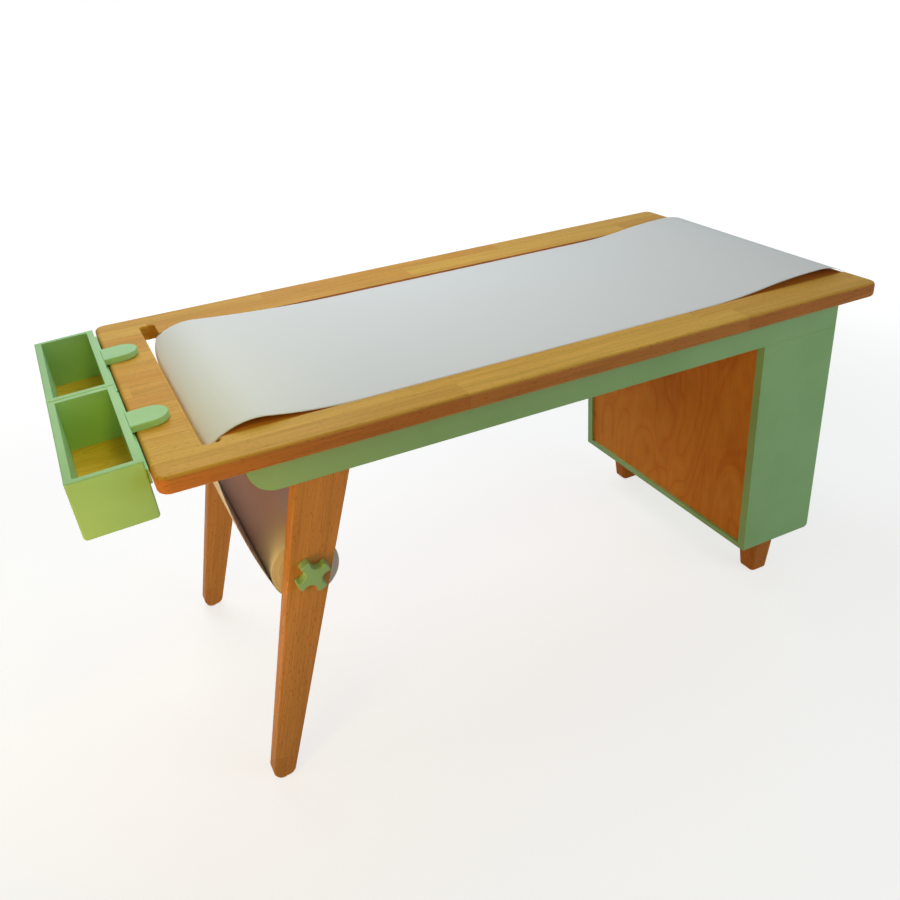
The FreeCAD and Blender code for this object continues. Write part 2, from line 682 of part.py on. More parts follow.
def paper_sheet():
    """The drawn-off paper as one thin solid."""
    upper = sheet_side(SHEET_THICKNESS / 2)
    lower = sheet_side(-SHEET_THICKNESS / 2)
    first = Part.LineSegment(lower[0].firstVertex(True).Point, upper[0].firstVertex(True).Point)
    last = Part.LineSegment(upper[-1].lastVertex(True).Point, lower[-1].lastVertex(True).Point)
    edges = Part.__sortEdges__(upper + [last.toShape()] + lower + [first.toShape()])
    return Part.Face(Part.Wire(edges)).extrude(V(0, PAPER_WIDTH, 0))


# Hanging boxes, built upright with the rim at z = 0 and the tongue's root at x = 0


def hung(point):
    """Where a point of the upright box comes to lie when the box hangs on the table's end."""
    pivot = V(BOX_END_GAP + TOP_EDGE_ROUND, 0, -TONGUE_THICKNESS)
    seat = V(TOP_EDGE_ROUND, 0, TABLE_HEIGHT + BOX_SEAT_GAP)
    return seat + FreeCAD.Rotation(V(0, 1, 0), -BOX_TILT).multVec(point - pivot)


def hang(shape, middle_y):
    """The upright piece tilted by the box's own weight, and moved to its place."""
    moved = shape.copy()
    moved.rotate(V(0, 0, 0), V(0, 1, 0), -BOX_TILT)
    moved.translate(hung(V(0, 0, 0)) + V(0, middle_y, 0))
    return moved


def end_wall(outer_y, inner_y):
    """Wall across the box, with its outer corners rounded."""
    wall = block(-BOX_WIDTH, 0, min(outer_y, inner_y), max(outer_y, inner_y), -BOX_HEIGHT, 0)
    wall = rounded(wall, BOX_CORNER_ROUND,
                   lambda edge: runs_across(edge) and at_height(edge, -BOX_HEIGHT))
    return rounded(wall, BOX_RIM_ROUND, lambda edge: at_depth(edge, outer_y))


def long_wall(outer_x, inner_x, half_length):
    """Wall along the box, between its end walls."""
    wall = block(min(outer_x, inner_x), max(outer_x, inner_x), -half_length, half_length, -BOX_HEIGHT, 0)
    return rounded(wall, BOX_RIM_ROUND,
                   lambda edge: at_length(edge, outer_x) and at_height(edge, 0))


def box_peg():
    """Peg glued into the underside of the tongue."""
    x = TONGUE_REACH - TONGUE_WIDTH / 2
    return rod(PEG_DIAMETER / 2, V(x, 0, PEG_DEPTH_IN_TONGUE - TONGUE_THICKNESS),
               V(x, 0, -TONGUE_THICKNESS - PEG_DROP))


def box_tongue(peg):
    """Round-ended tongue, level with the rim, that lies on the table top."""
    radius = TONGUE_WIDTH / 2
    straight = block(0, TONGUE_REACH - radius, -radius, radius, -TONGUE_THICKNESS, 0)
    nose = rod(radius, V(TONGUE_REACH - radius, 0, -TONGUE_THICKNESS), V(TONGUE_REACH - radius, 0, 0))
    tongue = straight.fuse(nose).removeSplitter()
    tongue = rounded(tongue, TONGUE_EDGE_ROUND,
                     lambda edge: at_height(edge, 0) and not at_length(edge, 0))
    return tongue.cut(peg)


def bearing_strip():
    """Strip along the back of the box that keeps it off the table's end."""
    half = BOX_LENGTH / 2 - STRIP_END_GAP
    return block(0, STRIP_THICKNESS, -half, half, -STRIP_DROP - STRIP_HEIGHT, -STRIP_DROP)


def hanging_box(name, middle_y):
    """All pieces of one box, by node name."""
    half = BOX_LENGTH / 2
    inside = half - BOX_WALL
    peg = box_peg()
    upright = {
        "near_wall": end_wall(-half, -inside),
        "far_wall": end_wall(half, inside),
        "outer_wall": long_wall(-BOX_WIDTH, BOX_WALL - BOX_WIDTH, inside),
        "inner_wall": long_wall(0, -BOX_WALL, inside),
        "floor": block(BOX_WALL - BOX_WIDTH, -BOX_WALL, -inside, inside,
                       -BOX_HEIGHT, BOX_FLOOR_THICKNESS - BOX_HEIGHT),
        "tongue": box_tongue(peg),
        "peg": peg,
        "strip": bearing_strip(),
    }
    return {name + "_" + piece: hang(shape, middle_y) for piece, shape in upright.items()}


def peg_hole(middle_y):
    """Upright hole in the top, wide enough for the tilted peg."""
    peg_middle = hung(V(TONGUE_REACH - TONGUE_WIDTH / 2, 0, -TONGUE_THICKNESS - PEG_DROP / 2))
    return rod(PEG_DIAMETER / 2 + PEG_SLACK, V(peg_middle.x, middle_y, TABLE_HEIGHT - PEG_HOLE_DEPTH),
               V(peg_middle.x, middle_y, TABLE_HEIGHT + BREAKTHROUGH))


# Whole table


def side_pieces():
    """Apron, cleat, leg, cabinet side and their fasteners, for both sides, by node name."""
    apron_screws = near_leg_screws() + near_cabinet_screws() + near_cleat_apron_screws()
    top_screws = near_cleat_top_screws() + near_cabinet_top_screws()
    leg_glide = glide(leg_middle(GLIDE_THICKNESS), -APRON_FACE_Y + LEG_THICKNESS / 2)
    pins = near_shelf_pins()
    dowels = near_dowels()
    near = {
        "apron": near_apron(apron_screws),
        "cleat": near_cleat(near_cleat_apron_screws() + near_cleat_top_screws()),
        "leg": near_leg(near_leg_screws() + [leg_glide]),
    }
    cabinet_side = near_cabinet_side(near_cabinet_screws() + pins + dowels + [back_panel()])
    pieces = {}
    for name, shape in near.items():
        pieces["near_" + name] = shape
        pieces["far_" + name] = mirrored(shape)
    pieces["cabinet_near_side"] = cabinet_side
    pieces["cabinet_far_side"] = mirrored(cabinet_side)
    groups = {"leg_glides": [leg_glide], "apron_screws": apron_screws, "top_screws": top_screws,
              "shelf_pins": pins, "cabinet_dowels": dowels}
    for name, shapes in groups.items():
        pieces[name] = Part.makeCompound(both_sides(shapes))
    return pieces


def cabinet_pieces():
    """Panels, shelf, feet and foot fasteners, by node name."""
    bolt = near_foot_bolt()
    washer = near_foot_washer()
    ceiling_screws = both_sides(near_cabinet_top_screws())
    foot_glide = glide(FOOT_X, -FOOT_Y)
    bolts = both_sides([bolt])
    dowels = both_sides(near_dowels())
    foot = near_foot([bolt, foot_glide])
    pieces = {
        "cabinet_bottom": level_panel(FOOT_HEIGHT, bolts + dowels + [back_panel()]),
        "cabinet_top": level_panel(CABINET_CEILING_Z, ceiling_screws + [back_panel()]),
        "cabinet_back_panel": back_panel(),
        "cabinet_shelf": shelf(),
        "near_foot": foot,
        "far_foot": mirrored(foot),
    }
    groups = {"foot_bolts": [bolt], "foot_washers": [washer], "foot_nuts": [near_foot_nut(bolt)],
              "foot_glides": [foot_glide]}
    for name, shapes in groups.items():
        pieces[name] = Part.makeCompound(both_sides(shapes))
    return pieces


def paper_pieces():
    """Axle, knobs, core, roll and sheet, by node name."""
    axle_shape = axle()
    knob = near_knob(axle_shape)
    core_outer = CORE_BORE + 2 * CORE_WALL
    return {
        "roll_axle": axle_shape,
        "near_knob": knob,
        "far_knob": mirrored(knob),
        "roll_core": wound(CORE_BORE, core_outer),
        "paper_roll": wound(core_outer, ROLL_DIAMETER),
        "paper_sheet": paper_sheet(),
    }


def whole_table():
    """Every piece by node name, before the shift along x."""
    box_y = (BOX_LENGTH + BOX_SPACING) / 2
    top_fittings = both_sides(near_cleat_top_screws() + near_cabinet_top_screws())
    top_fittings += [peg_hole(-box_y), peg_hole(box_y)]
    pieces = {"tabletop": table_top(top_fittings)}
    pieces.update(side_pieces())
    pieces.update(cabinet_pieces())
    pieces.update(paper_pieces())
    pieces.update(hanging_box("near_box", -box_y))
    pieces.update(hanging_box("far_box", box_y))
    return pieces


def main():
    """Builds the table, puts its origin under its middle and writes one file for each piece."""
    pieces = whole_table()
    box = Part.makeCompound(list(pieces.values())).optimalBoundingBox(False, False)
    shift = V(-(box.XMin + box.XMax) / 2, 0, 0)
    os.makedirs("parts", exist_ok=True)
    for name, shape in pieces.items():
        moved = shape.copy()
        moved.translate(shift)
        moved.exportStep("parts/" + name + ".step")
    sheet_length = sum(edge.Length for edge in sheet_side(0))
    print("pieces", len(pieces), "shift", round(shift.x, 3))
    print("axle", round(AXLE_X + shift.x, 3), round(AXLE_Z, 3), "roll", round(ROLL_Z, 3))
    print("paper sheet", PAPER_WIDTH, "by", round(sheet_length, 1))


main()
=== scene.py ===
"""Looks of a low children's drawing table with a paper roll, hanging boxes and a cabinet.

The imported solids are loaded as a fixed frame. This script gives every solid its finish, replaces the
paper by a worked-out roll and sheet, and sets a plain studio with the camera of the photograph.
"""

import logging
import math
from dataclasses import dataclass
from enum import Enum

import bpy
import numpy as np
from mathutils import Matrix, Vector


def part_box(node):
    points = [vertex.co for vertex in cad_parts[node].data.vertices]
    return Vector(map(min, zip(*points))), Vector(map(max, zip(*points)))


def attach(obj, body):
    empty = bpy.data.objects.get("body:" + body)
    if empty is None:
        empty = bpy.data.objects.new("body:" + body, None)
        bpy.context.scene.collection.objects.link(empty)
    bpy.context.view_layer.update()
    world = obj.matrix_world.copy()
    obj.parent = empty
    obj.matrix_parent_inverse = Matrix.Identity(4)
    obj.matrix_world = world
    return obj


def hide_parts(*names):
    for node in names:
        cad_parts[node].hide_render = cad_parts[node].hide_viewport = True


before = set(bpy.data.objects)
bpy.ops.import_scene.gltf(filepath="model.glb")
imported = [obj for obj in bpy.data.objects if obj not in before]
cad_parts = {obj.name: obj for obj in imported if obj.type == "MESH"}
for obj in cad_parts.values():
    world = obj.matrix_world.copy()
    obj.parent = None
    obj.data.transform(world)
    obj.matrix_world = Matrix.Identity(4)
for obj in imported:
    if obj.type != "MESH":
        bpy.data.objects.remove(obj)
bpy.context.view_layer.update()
LOG = logging.getLogger("drawing_table")

Tone = tuple[float, float, float]
Point = tuple[float, float, float]
Ramp = tuple[float, ...]  # the numbers that Graph.window takes
Material = bpy.types.Material
Socket = bpy.types.NodeSocket
Source = Socket | float | tuple

UNTINTED: Tone = (1.0, 1.0, 1.0)
MIX_COLOURS = (6, 7)  # the places of a Mix node's colour inputs, whose names are not unique
MIX_RESULT = 2
UPWARD = math.pi / 2.0
DOWNWARD = 1.5 * math.pi


def tone(red: int, green: int, blue: int) -> Tone:
    """Turns a colour as seen on a screen into linear light, by the sRGB curve.

    Args:
        red: Red from 0 to 255.
        green: Green from 0 to 255.
        blue: Blue from 0 to 255.

    Returns:
        The three linear values, from 0 to 1.
    """
    seen = np.array([red, green, blue]) / 255.0
    linear = np.where(seen <= 0.04045, seen / 12.92, ((seen + 0.055) / 1.055) ** 2.4)
    return tuple(float(value) for value in linear)


class Axis(Enum):
    """A direction of the table's own frame, as the place of its value in a point."""

    LENGTH = 0
    WIDTH = 1
    HEIGHT = 2


class Side(Enum):
    """The two long sides of the table: the first word of the names of their nodes."""

    NEAR = "near"
    FAR = "far"


class Graph:
    """The nodes of one material, with short calls for the nodes that the finishes use."""

    def __init__(self, name: str) -> None:
        """Starts an empty material.

        Args:
            name: The material's name.
        """
        self.material = bpy.data.materials.new(name)
        self.material.use_nodes = True
        self.tree = self.material.node_tree
        self.tree.nodes.clear()
        self.output = self.add("ShaderNodeOutputMaterial")

    def add(self, kind: str, **settings: object) -> bpy.types.Node:
        """Adds a node.

        Args:
            kind: Blender's name of the node type.
            **settings: Properties to set on the node.

        Returns:
            The new node.
        """
        node = self.tree.nodes.new(kind)
        for name, value in settings.items():
            setattr(node, name, value)
        return node

    def feed(self, socket: Socket, value: Source) -> None:
        """Links a socket to another one, or sets it to a constant.

        Args:
            socket: The input to feed.
            value: An output socket, a number or a colour.
        """
        if isinstance(value, Socket):
            self.tree.links.new(value, socket)
        elif isinstance(value, tuple) and socket.type == "RGBA":
            socket.default_value = (*value, 1.0)
        else:
            socket.default_value = value

    def math(self, operation: str, *values: Source) -> Socket:
        """Works out one number from others.

        Args:
            operation: Blender's name of the operation.
            *values: One to three numbers or sockets.

        Returns:
            The result's socket.
        """
        node = self.add("ShaderNodeMath", operation=operation)
        for place, value in enumerate(values):
            self.feed(node.inputs[place], value)
        return node.outputs[0]

    def point(self, first: Source, second: Source, third: Source) -> Socket:
        """Puts three values together as a point.

        Args:
            first: The first value.
            second: The second value.
            third: The third value.

        Returns:
            The point's socket.
        """
        node = self.add("ShaderNodeCombineXYZ")
        for place, value in enumerate((first, second, third)):
            self.feed(node.inputs[place], value)
        return node.outputs[0]

    def scaled(self, spots: tuple, scales: Point | float) -> Socket:
        """Scales a place for a noise, by one number of bumps in a metre or one for each coordinate."""
        each = scales if isinstance(scales, tuple) else (scales,) * len(spots)
        return self.point(*(self.math("MULTIPLY", *pair) for pair in zip(spots, each)))

    def length(self, first: Source, second: Source) -> Socket:
        """Gives the length of a step that has two parts: the root of the sum of their squares."""
        squares = (self.math("POWER", part, 2.0) for part in (first, second))
        return self.math("SQRT", self.math("ADD", *squares))

    def place(self, turn: Point = (0.0, 0.0, 0.0)) -> tuple:
        """Gives the place on the piece in metres, in the table's frame turned by some angles.

        Args:
            turn: Angles about the three axes, in radians.

        Returns:
            The sockets of the three coordinates.
        """
        where = self.add("ShaderNodeTexCoord").outputs["Object"]
        mapping = self.add("ShaderNodeMapping")
        mapping.inputs["Rotation"].default_value = turn
        self.feed(mapping.inputs["Vector"], where)
        split = self.add("ShaderNodeSeparateXYZ")
        self.feed(split.inputs[0], mapping.outputs[0])
        return tuple(split.outputs)

    def facing(self, axis: Axis) -> Socket:
        """Gives how far the surface faces along an axis of the piece, whichever way round.

        Args:
            axis: The axis.

        Returns:
            A socket from 0, along the surface, to 1, square to it.
        """
        split = self.add("ShaderNodeSeparateXYZ")
        self.feed(split.inputs[0], self.add("ShaderNodeTexCoord").outputs["Normal"])
        return self.math("ABSOLUTE", split.outputs[axis.value])

    def noise(
        self, where: Source, detail: float = 2.0, roughness: float = 0.5, distortion: float = 0.0
    ) -> Socket:
        """Gives smooth noise around one half.

        Args:
            where: The point, already scaled so that one unit is one bump.
            detail: How many finer layers are added.
            roughness: How strong the finer layers are.
            distortion: How far the bumps are bent.

        Returns:
            The noise's socket.
        """
        node = self.add("ShaderNodeTexNoise")
        node.inputs["Scale"].default_value = 1.0
        node.inputs["Detail"].default_value = detail
        node.inputs["Roughness"].default_value = roughness
        node.inputs["Distortion"].default_value = distortion
        self.feed(node.inputs["Vector"], where)
        return node.outputs[0]

    def chance(self, where: Source) -> Socket:
        """Gives a number from 0 to 1 that is picked anew for every point.

        Args:
            where: The point.

        Returns:
            The number's socket.
        """
        node = self.add("ShaderNodeTexWhiteNoise")
        self.feed(node.inputs["Vector"], where)
        return node.outputs["Value"]

    def window(self, value: Source, low: float, high: float, start: float = 0.0, end: float = 1.0) -> Socket:
        """Takes a value smoothly from start, at low, to end, at high.

        Args:
            value: The value.
            low: Where the change begins.
            high: Where the change ends.
            start: The result up to low.
            end: The result from high on.

        Returns:
            The result's socket.
        """
        node = self.add("ShaderNodeMapRange", interpolation_type="SMOOTHSTEP")
        for name, number in (("From Min", low), ("From Max", high), ("To Min", start), ("To Max", end)):
            node.inputs[name].default_value = number
        self.feed(node.inputs["Value"], value)
        return node.outputs[0]

    def blend(self, share: Source, first: Source, second: Source, kind: str = "MIX") -> Socket:
        """Blends two colours.

        Args:
            share: How much of the second colour shows.
            first: The first colour.
            second: The second colour.
            kind: Blender's name of the way to blend.

        Returns:
            The colour's socket.
        """
        node = self.add("ShaderNodeMix", data_type="RGBA", blend_type=kind, clamp_factor=True)
        self.feed(node.inputs["Factor"], share)
        for place, colour in zip(MIX_COLOURS, (first, second)):
            self.feed(node.inputs[place], colour)
        return node.outputs[MIX_RESULT]

    def shade(self, colour: Source, level: Source) -> Socket:
        """Multiplies a colour by a level, where 1 leaves it as it is.

        Args:
            colour: The colour.
            level: The level's socket.

        Returns:
            The colour's socket.
        """
        grey = self.add("ShaderNodeCombineColor")
        for place in range(3):
            self.feed(grey.inputs[place], level)
        return self.blend(1.0, colour, grey.outputs[0], "MULTIPLY")

    def bump(self, height: Source, depth: float) -> Socket:
        """Makes the surface rough.

        Args:
            height: The height's socket, from 0 to 1.
            depth: The height that 1 stands for, in metres.

        Returns:
            The normal's socket.
        """
        node = self.add("ShaderNodeBump")
        node.inputs["Strength"].default_value = 1.0
        node.inputs["Distance"].default_value = depth
        self.feed(node.inputs["Height"], height)
        return node.outputs[0]

    def surface(self, colour: Source, roughness: Source, normal: Socket, **constants: float) -> Material:
        """Ends the material with its surface.

        Args:
            colour: The colour.
            roughness: The roughness.
            normal: The normal from a bump.
            **constants: Other inputs of the surface, with _ for a space in their names.

        Returns:
            The finished material.
        """
        node = self.add("ShaderNodeBsdfPrincipled")
        self.feed(node.inputs["Base Color"], colour)
        self.feed(node.inputs["Roughness"], roughness)
        self.feed(node.inputs["Normal"], normal)
        for name, value in constants.items():
            node.inputs[name.replace("_", " ")].default_value = value
        self.feed(self.output.inputs["Surface"], node.outputs[0])
        return self.material


@dataclass(frozen=True)
class Finish:
    """A finish that makes its material once and keeps it in the file."""

    name: str

    def material(self) -> Material:
        """Gives the finish's material, and makes it on the first call."""
        return bpy.data.materials.get(self.name) or self.paint(Graph(self.name))

    def paint(self, graph: Graph) -> Material:
        """Builds the nodes of an empty material; every finish has its own way."""
        raise NotImplementedError


@dataclass(frozen=True)
class Beech(Finish):
    """Lacquered beech, glued up from staves, with growth figure, fine streaks and dark flecks."""

    along: Axis = Axis.LENGTH
    across: Axis = Axis.WIDTH
    through: Axis = Axis.HEIGHT
    lean: float = 0.0
    stave_width: float = 0.043
    stave_length: float = 0.47
    stave_shift: float = 0.0
    stave_drift: float = 61.0
    row_seeds: tuple[float, float] = (3.7, 1.3)
    stave_seed: float = 5.1
    ruddy: Tone = tone(220, 158, 64)
    middle: Tone = tone(224, 167, 70)
    pale: Tone = tone(232, 180, 79)
    fleck: Tone = tone(150, 88, 36)
    middle_ramp: Ramp = (0.1, 0.5)
    pale_ramp: Ramp = (0.5, 0.95)
    figure_scales: Point = (2.4, 34.0, 20.0)
    figure_ramp: Ramp = (0.3, 0.72, 0.92, 1.05)
    streak_scales: Point = (11.0, 460.0, 380.0)
    streak_ramp: Ramp = (0.32, 0.7, 0.89, 1.07)
    fleck_scales: Point = (120.0, 760.0, 640.0)
    fleck_ramp: Ramp = (0.62, 0.72, 0.0, 0.5)
    seam_ramp: Ramp = (0.0, 0.0006, 0.86, 1.0)
    # painted shade: darker, redder colour on the board's upright outer faces
    painted_edge_shade: Tone = UNTINTED
    edge_ramp: Ramp = (0.35, 0.9, 1.0, 0.0)
    slot_place: float = 0.0
    slot_side_ramp: Ramp = (0.025, 0.03)
    slot_end_ramp: Ramp = (0.255, 0.27)
    # painted light: a redder tone on the channel's floor, standing in for warm light thrown back by the wood
    painted_floor_bounce: Tone = UNTINTED
    floor_height: float = 0.0
    floor_blend: float = 0.0005
    floor_ramp: Ramp = (0.8, 0.95)
    rough_ramp: Ramp = (0.3, 0.7, 0.5, 0.38)
    relief: float = 0.00006
    gloss: float = 0.04

    def paint(self, graph: Graph) -> Material:
        """Builds staves of different tones, each with its own piece of grain.

        Args:
            graph: The empty material.

        Returns:
            The finished material.
        """
        spots = graph.place((0.0, -self.lean, 0.0))
        stave = tuple(spots[axis.value] for axis in (self.along, self.across, self.through))
        along, across, _ = stave
        row_place = graph.math("ADD", graph.math("DIVIDE", across, self.stave_width), self.stave_shift)
        row = graph.math("FLOOR", row_place)
        row_pick = graph.chance(graph.point(row, *self.row_seeds))
        cell_place = graph.math("ADD", graph.math("DIVIDE", along, self.stave_length), row_pick)
        cell = graph.math("FLOOR", cell_place)
        pick = graph.chance(graph.point(row, cell, self.stave_seed))
        drift = graph.math("MULTIPLY", pick, self.stave_drift)
        figure_place = self.stretched(graph, stave, self.figure_scales, drift)
        figure = graph.noise(figure_place, detail=3.0, roughness=0.55, distortion=0.6)
        streak_place = self.stretched(graph, stave, self.streak_scales, drift)
        streak = graph.noise(streak_place, detail=3.0, roughness=0.6)
        dash = graph.noise(self.stretched(graph, stave, self.fleck_scales, drift), detail=1.0)
        flecks = graph.window(dash, *self.fleck_ramp)
        colour = graph.blend(graph.window(pick, *self.middle_ramp), self.ruddy, self.middle)
        colour = graph.blend(graph.window(pick, *self.pale_ramp), colour, self.pale)
        colour = graph.shade(colour, graph.window(figure, *self.figure_ramp))
        colour = graph.shade(colour, graph.window(streak, *self.streak_ramp))
        colour = graph.blend(flecks, colour, self.fleck)
        seams = 1.0
        for place, size in ((row_place, self.stave_width), (cell_place, self.stave_length)):
            gap = graph.math("MULTIPLY", graph.math("PINGPONG", place, 0.5), size)
            seams = graph.math("MULTIPLY", seams, graph.window(gap, *self.seam_ramp))
        colour = graph.shade(colour, seams)
        # painted shade: the upright outer faces are darkened and reddened, standing in for the shadow they
        # lie in
        if self.painted_edge_shade != UNTINTED:
            painted_light = graph.blend(1.0, colour, self.painted_edge_shade, "MULTIPLY")
            colour = graph.blend(self.outer_edges(graph, along, across), colour, painted_light)
        # painted light: the channel's floor, under the lifted sheet, gets a redder tone for warm bounce
        # light in the shade
        if self.floor_height:
            painted_light = graph.blend(1.0, colour, self.painted_floor_bounce, "MULTIPLY")
            colour = graph.blend(self.channel_floor(graph, spots[Axis.HEIGHT.value]), colour, painted_light)
        return graph.surface(
            colour,
            graph.window(streak, *self.rough_ramp),
            graph.bump(graph.math("SUBTRACT", streak, flecks), self.relief),
            Specular_IOR_Level=self.gloss,
        )

    @staticmethod
    def stretched(graph: Graph, spots: tuple, scales: Point, drift: Source) -> Socket:
        """Stretches a place along the grain, and moves it on by a drift that each stave has of its own."""
        along, across, through = (graph.math("MULTIPLY", *pair) for pair in zip(spots, scales))
        return graph.point(graph.math("ADD", along, drift), graph.math("ADD", across, drift), through)

    def outer_edges(self, graph: Graph, along: Source, across: Source) -> Socket:
        """Finds the board's upright faces, but not the walls of the slot: where the painted shade goes.

        Args:
            graph: The material.
            along: The place along the board.
            across: The place across it.

        Returns:
            A socket that is 1 on them and 0 elsewhere.
        """
        upright = graph.window(graph.facing(self.through), *self.edge_ramp)
        off_slot = graph.math("ABSOLUTE", graph.math("SUBTRACT", along, self.slot_place))
        past_end = graph.window(graph.math("ABSOLUTE", across), *self.slot_end_ramp)
        outside = graph.math("MAXIMUM", past_end, graph.window(off_slot, *self.slot_side_ramp))
        return graph.math("MULTIPLY", upright, outside)

    def channel_floor(self, graph: Graph, height: Source) -> Socket:
        """Gives 1 on the level faces below the board's upper face, where the painted bounce light goes, and
        0 elsewhere.
        """
        sunk = graph.window(height, self.floor_height, self.floor_height + self.floor_blend, 1.0, 0.0)
        return graph.math("MULTIPLY", sunk, graph.window(graph.facing(self.through), *self.floor_ramp))


@dataclass(frozen=True)
class RotaryPly(Finish):
    """Lacquered ply whose face was peeled from the log, with wild contour grain."""

    across: Axis = Axis.WIDTH
    along: Axis = Axis.HEIGHT
    base: Tone = tone(240, 156, 64)
    dark: Tone = tone(219, 127, 46)
    light: Tone = tone(245, 176, 82)
    hill_scales: Point = (7.0, 2.6, 0.0)
    hill_lines: float = 26.0
    line_ramp: Ramp = (0.78, 1.0, 0.0, 0.6)
    light_ramp: Ramp = (0.5, 0.0, 0.0, 0.25)
    cloud_scales: Point = (13.0, 6.0, 0.0)
    cloud_ramp: Ramp = (0.35, 0.68, 0.0, 0.5)
    streak_scales: Point = (520.0, 16.0, 0.0)
    streak_ramp: Ramp = (0.3, 0.7, 0.92, 1.06)
    pore_scales: Point = (1500.0, 120.0, 0.0)
    pore_ramp: Ramp = (0.64, 0.74, 0.0, 0.45)
    rough_ramp: Ramp = (0.3, 0.7, 0.5, 0.4)
    relief: float = 0.00005
    gloss: float = 0.05

    def paint(self, graph: Graph) -> Material:
        """Builds grain as the level lines of a smooth noise that is stretched along the panel.

        Args:
            graph: The empty material.

        Returns:
            The finished material.
        """
        spots = graph.place()
        face = (spots[self.across.value], spots[self.along.value], 0.0)
        hill = graph.noise(graph.scaled(face, self.hill_scales), detail=1.6, roughness=0.45, distortion=0.8)
        lines = graph.math("PINGPONG", graph.math("MULTIPLY", hill, self.hill_lines), 1.0)
        cloud = graph.noise(graph.scaled(face, self.cloud_scales), detail=2.0, roughness=0.6, distortion=1.2)
        streak = graph.noise(graph.scaled(face, self.streak_scales), detail=3.0, roughness=0.6)
        pores = graph.window(graph.noise(graph.scaled(face, self.pore_scales), detail=1.0), *self.pore_ramp)
        colour = graph.blend(graph.window(cloud, *self.cloud_ramp), self.base, self.dark)
        colour = graph.blend(graph.window(lines, *self.line_ramp), colour, self.dark)
        colour = graph.blend(graph.window(lines, *self.light_ramp), colour, self.light)
        colour = graph.shade(colour, graph.window(streak, *self.streak_ramp))
        return graph.surface(
            graph.blend(pores, colour, self.dark),
            graph.window(streak, *self.rough_ramp),
            graph.bump(graph.math("SUBTRACT", streak, pores), self.relief),
            Specular_IOR_Level=self.gloss,
        )


@dataclass(frozen=True)
class SatinPaint(Finish):
    """Sprayed satin paint: slow drift of tone, fine orange peel and a few dull patches."""

    base: Tone = tone(169, 216, 157)
    deep: Tone = tone(163, 210, 150)
    drift_scale: float = 9.0
    drift_ramp: Ramp = (0.35, 0.68)
    peel_scale: float = 640.0
    peel_share: float = 0.3
    dust_scale: float = 2100.0
    dust_ramp: Ramp = (0.3, 0.7, 0.975, 1.02)
    rough_ramp: Ramp = (0.4, 0.9, 0.4, 0.52)
    relief: float = 0.00005
    gloss: float = 0.12

    def paint(self, graph: Graph) -> Material:
        """Builds the tone's drift and the peel.

        Args:
            graph: The empty material.

        Returns:
            The finished material.
        """
        spots = graph.place()
        wide = graph.noise(graph.scaled(spots, self.drift_scale), detail=3.0, roughness=0.55)
        peel = graph.noise(graph.scaled(spots, self.peel_scale), detail=2.0, roughness=0.5)
        dust = graph.noise(graph.scaled(spots, self.dust_scale), detail=1.0)
        dullness = graph.math("ADD", wide, graph.math("MULTIPLY", peel, self.peel_share))
        colour = graph.blend(graph.window(wide, *self.drift_ramp), self.base, self.deep)
        return graph.surface(
            graph.shade(colour, graph.window(dust, *self.dust_ramp)),
            graph.window(dullness, *self.rough_ramp),
            graph.bump(peel, self.relief),
            Specular_IOR_Level=self.gloss,
        )


@dataclass(frozen=True)
class DrawingPaper(Finish):
    """Uncoated drawing paper, with cloudy fibre and a fine tooth."""

    base: Tone = tone(233, 234, 234)
    cloud: Tone = tone(228, 229, 228)
    cloud_scale: float = 60.0
    cloud_ramp: Ramp = (0.3, 0.7)
    tooth_scale: float = 1500.0
    tooth_ramp: Ramp = (0.3, 0.7, 0.98, 1.01)
    rough_ramp: Ramp = (0.3, 0.7, 0.82, 0.92)
    relief: float = 0.00004
    gloss: float = 0.1

    def paint(self, graph: Graph) -> Material:
        """Builds the clouds and the tooth.

        Args:
            graph: The empty material.

        Returns:
            The finished material.
        """
        spots = graph.place()
        clouds = graph.noise(graph.scaled(spots, self.cloud_scale), detail=4.0, roughness=0.65)
        tooth = graph.noise(graph.scaled(spots, self.tooth_scale), detail=2.0, roughness=0.6)
        colour = graph.blend(graph.window(clouds, *self.cloud_ramp), self.base, self.cloud)
        return graph.surface(
            graph.shade(colour, graph.window(tooth, *self.tooth_ramp)),
            graph.window(tooth, *self.rough_ramp),
            graph.bump(tooth, self.relief),
            Specular_IOR_Level=self.gloss,
        )


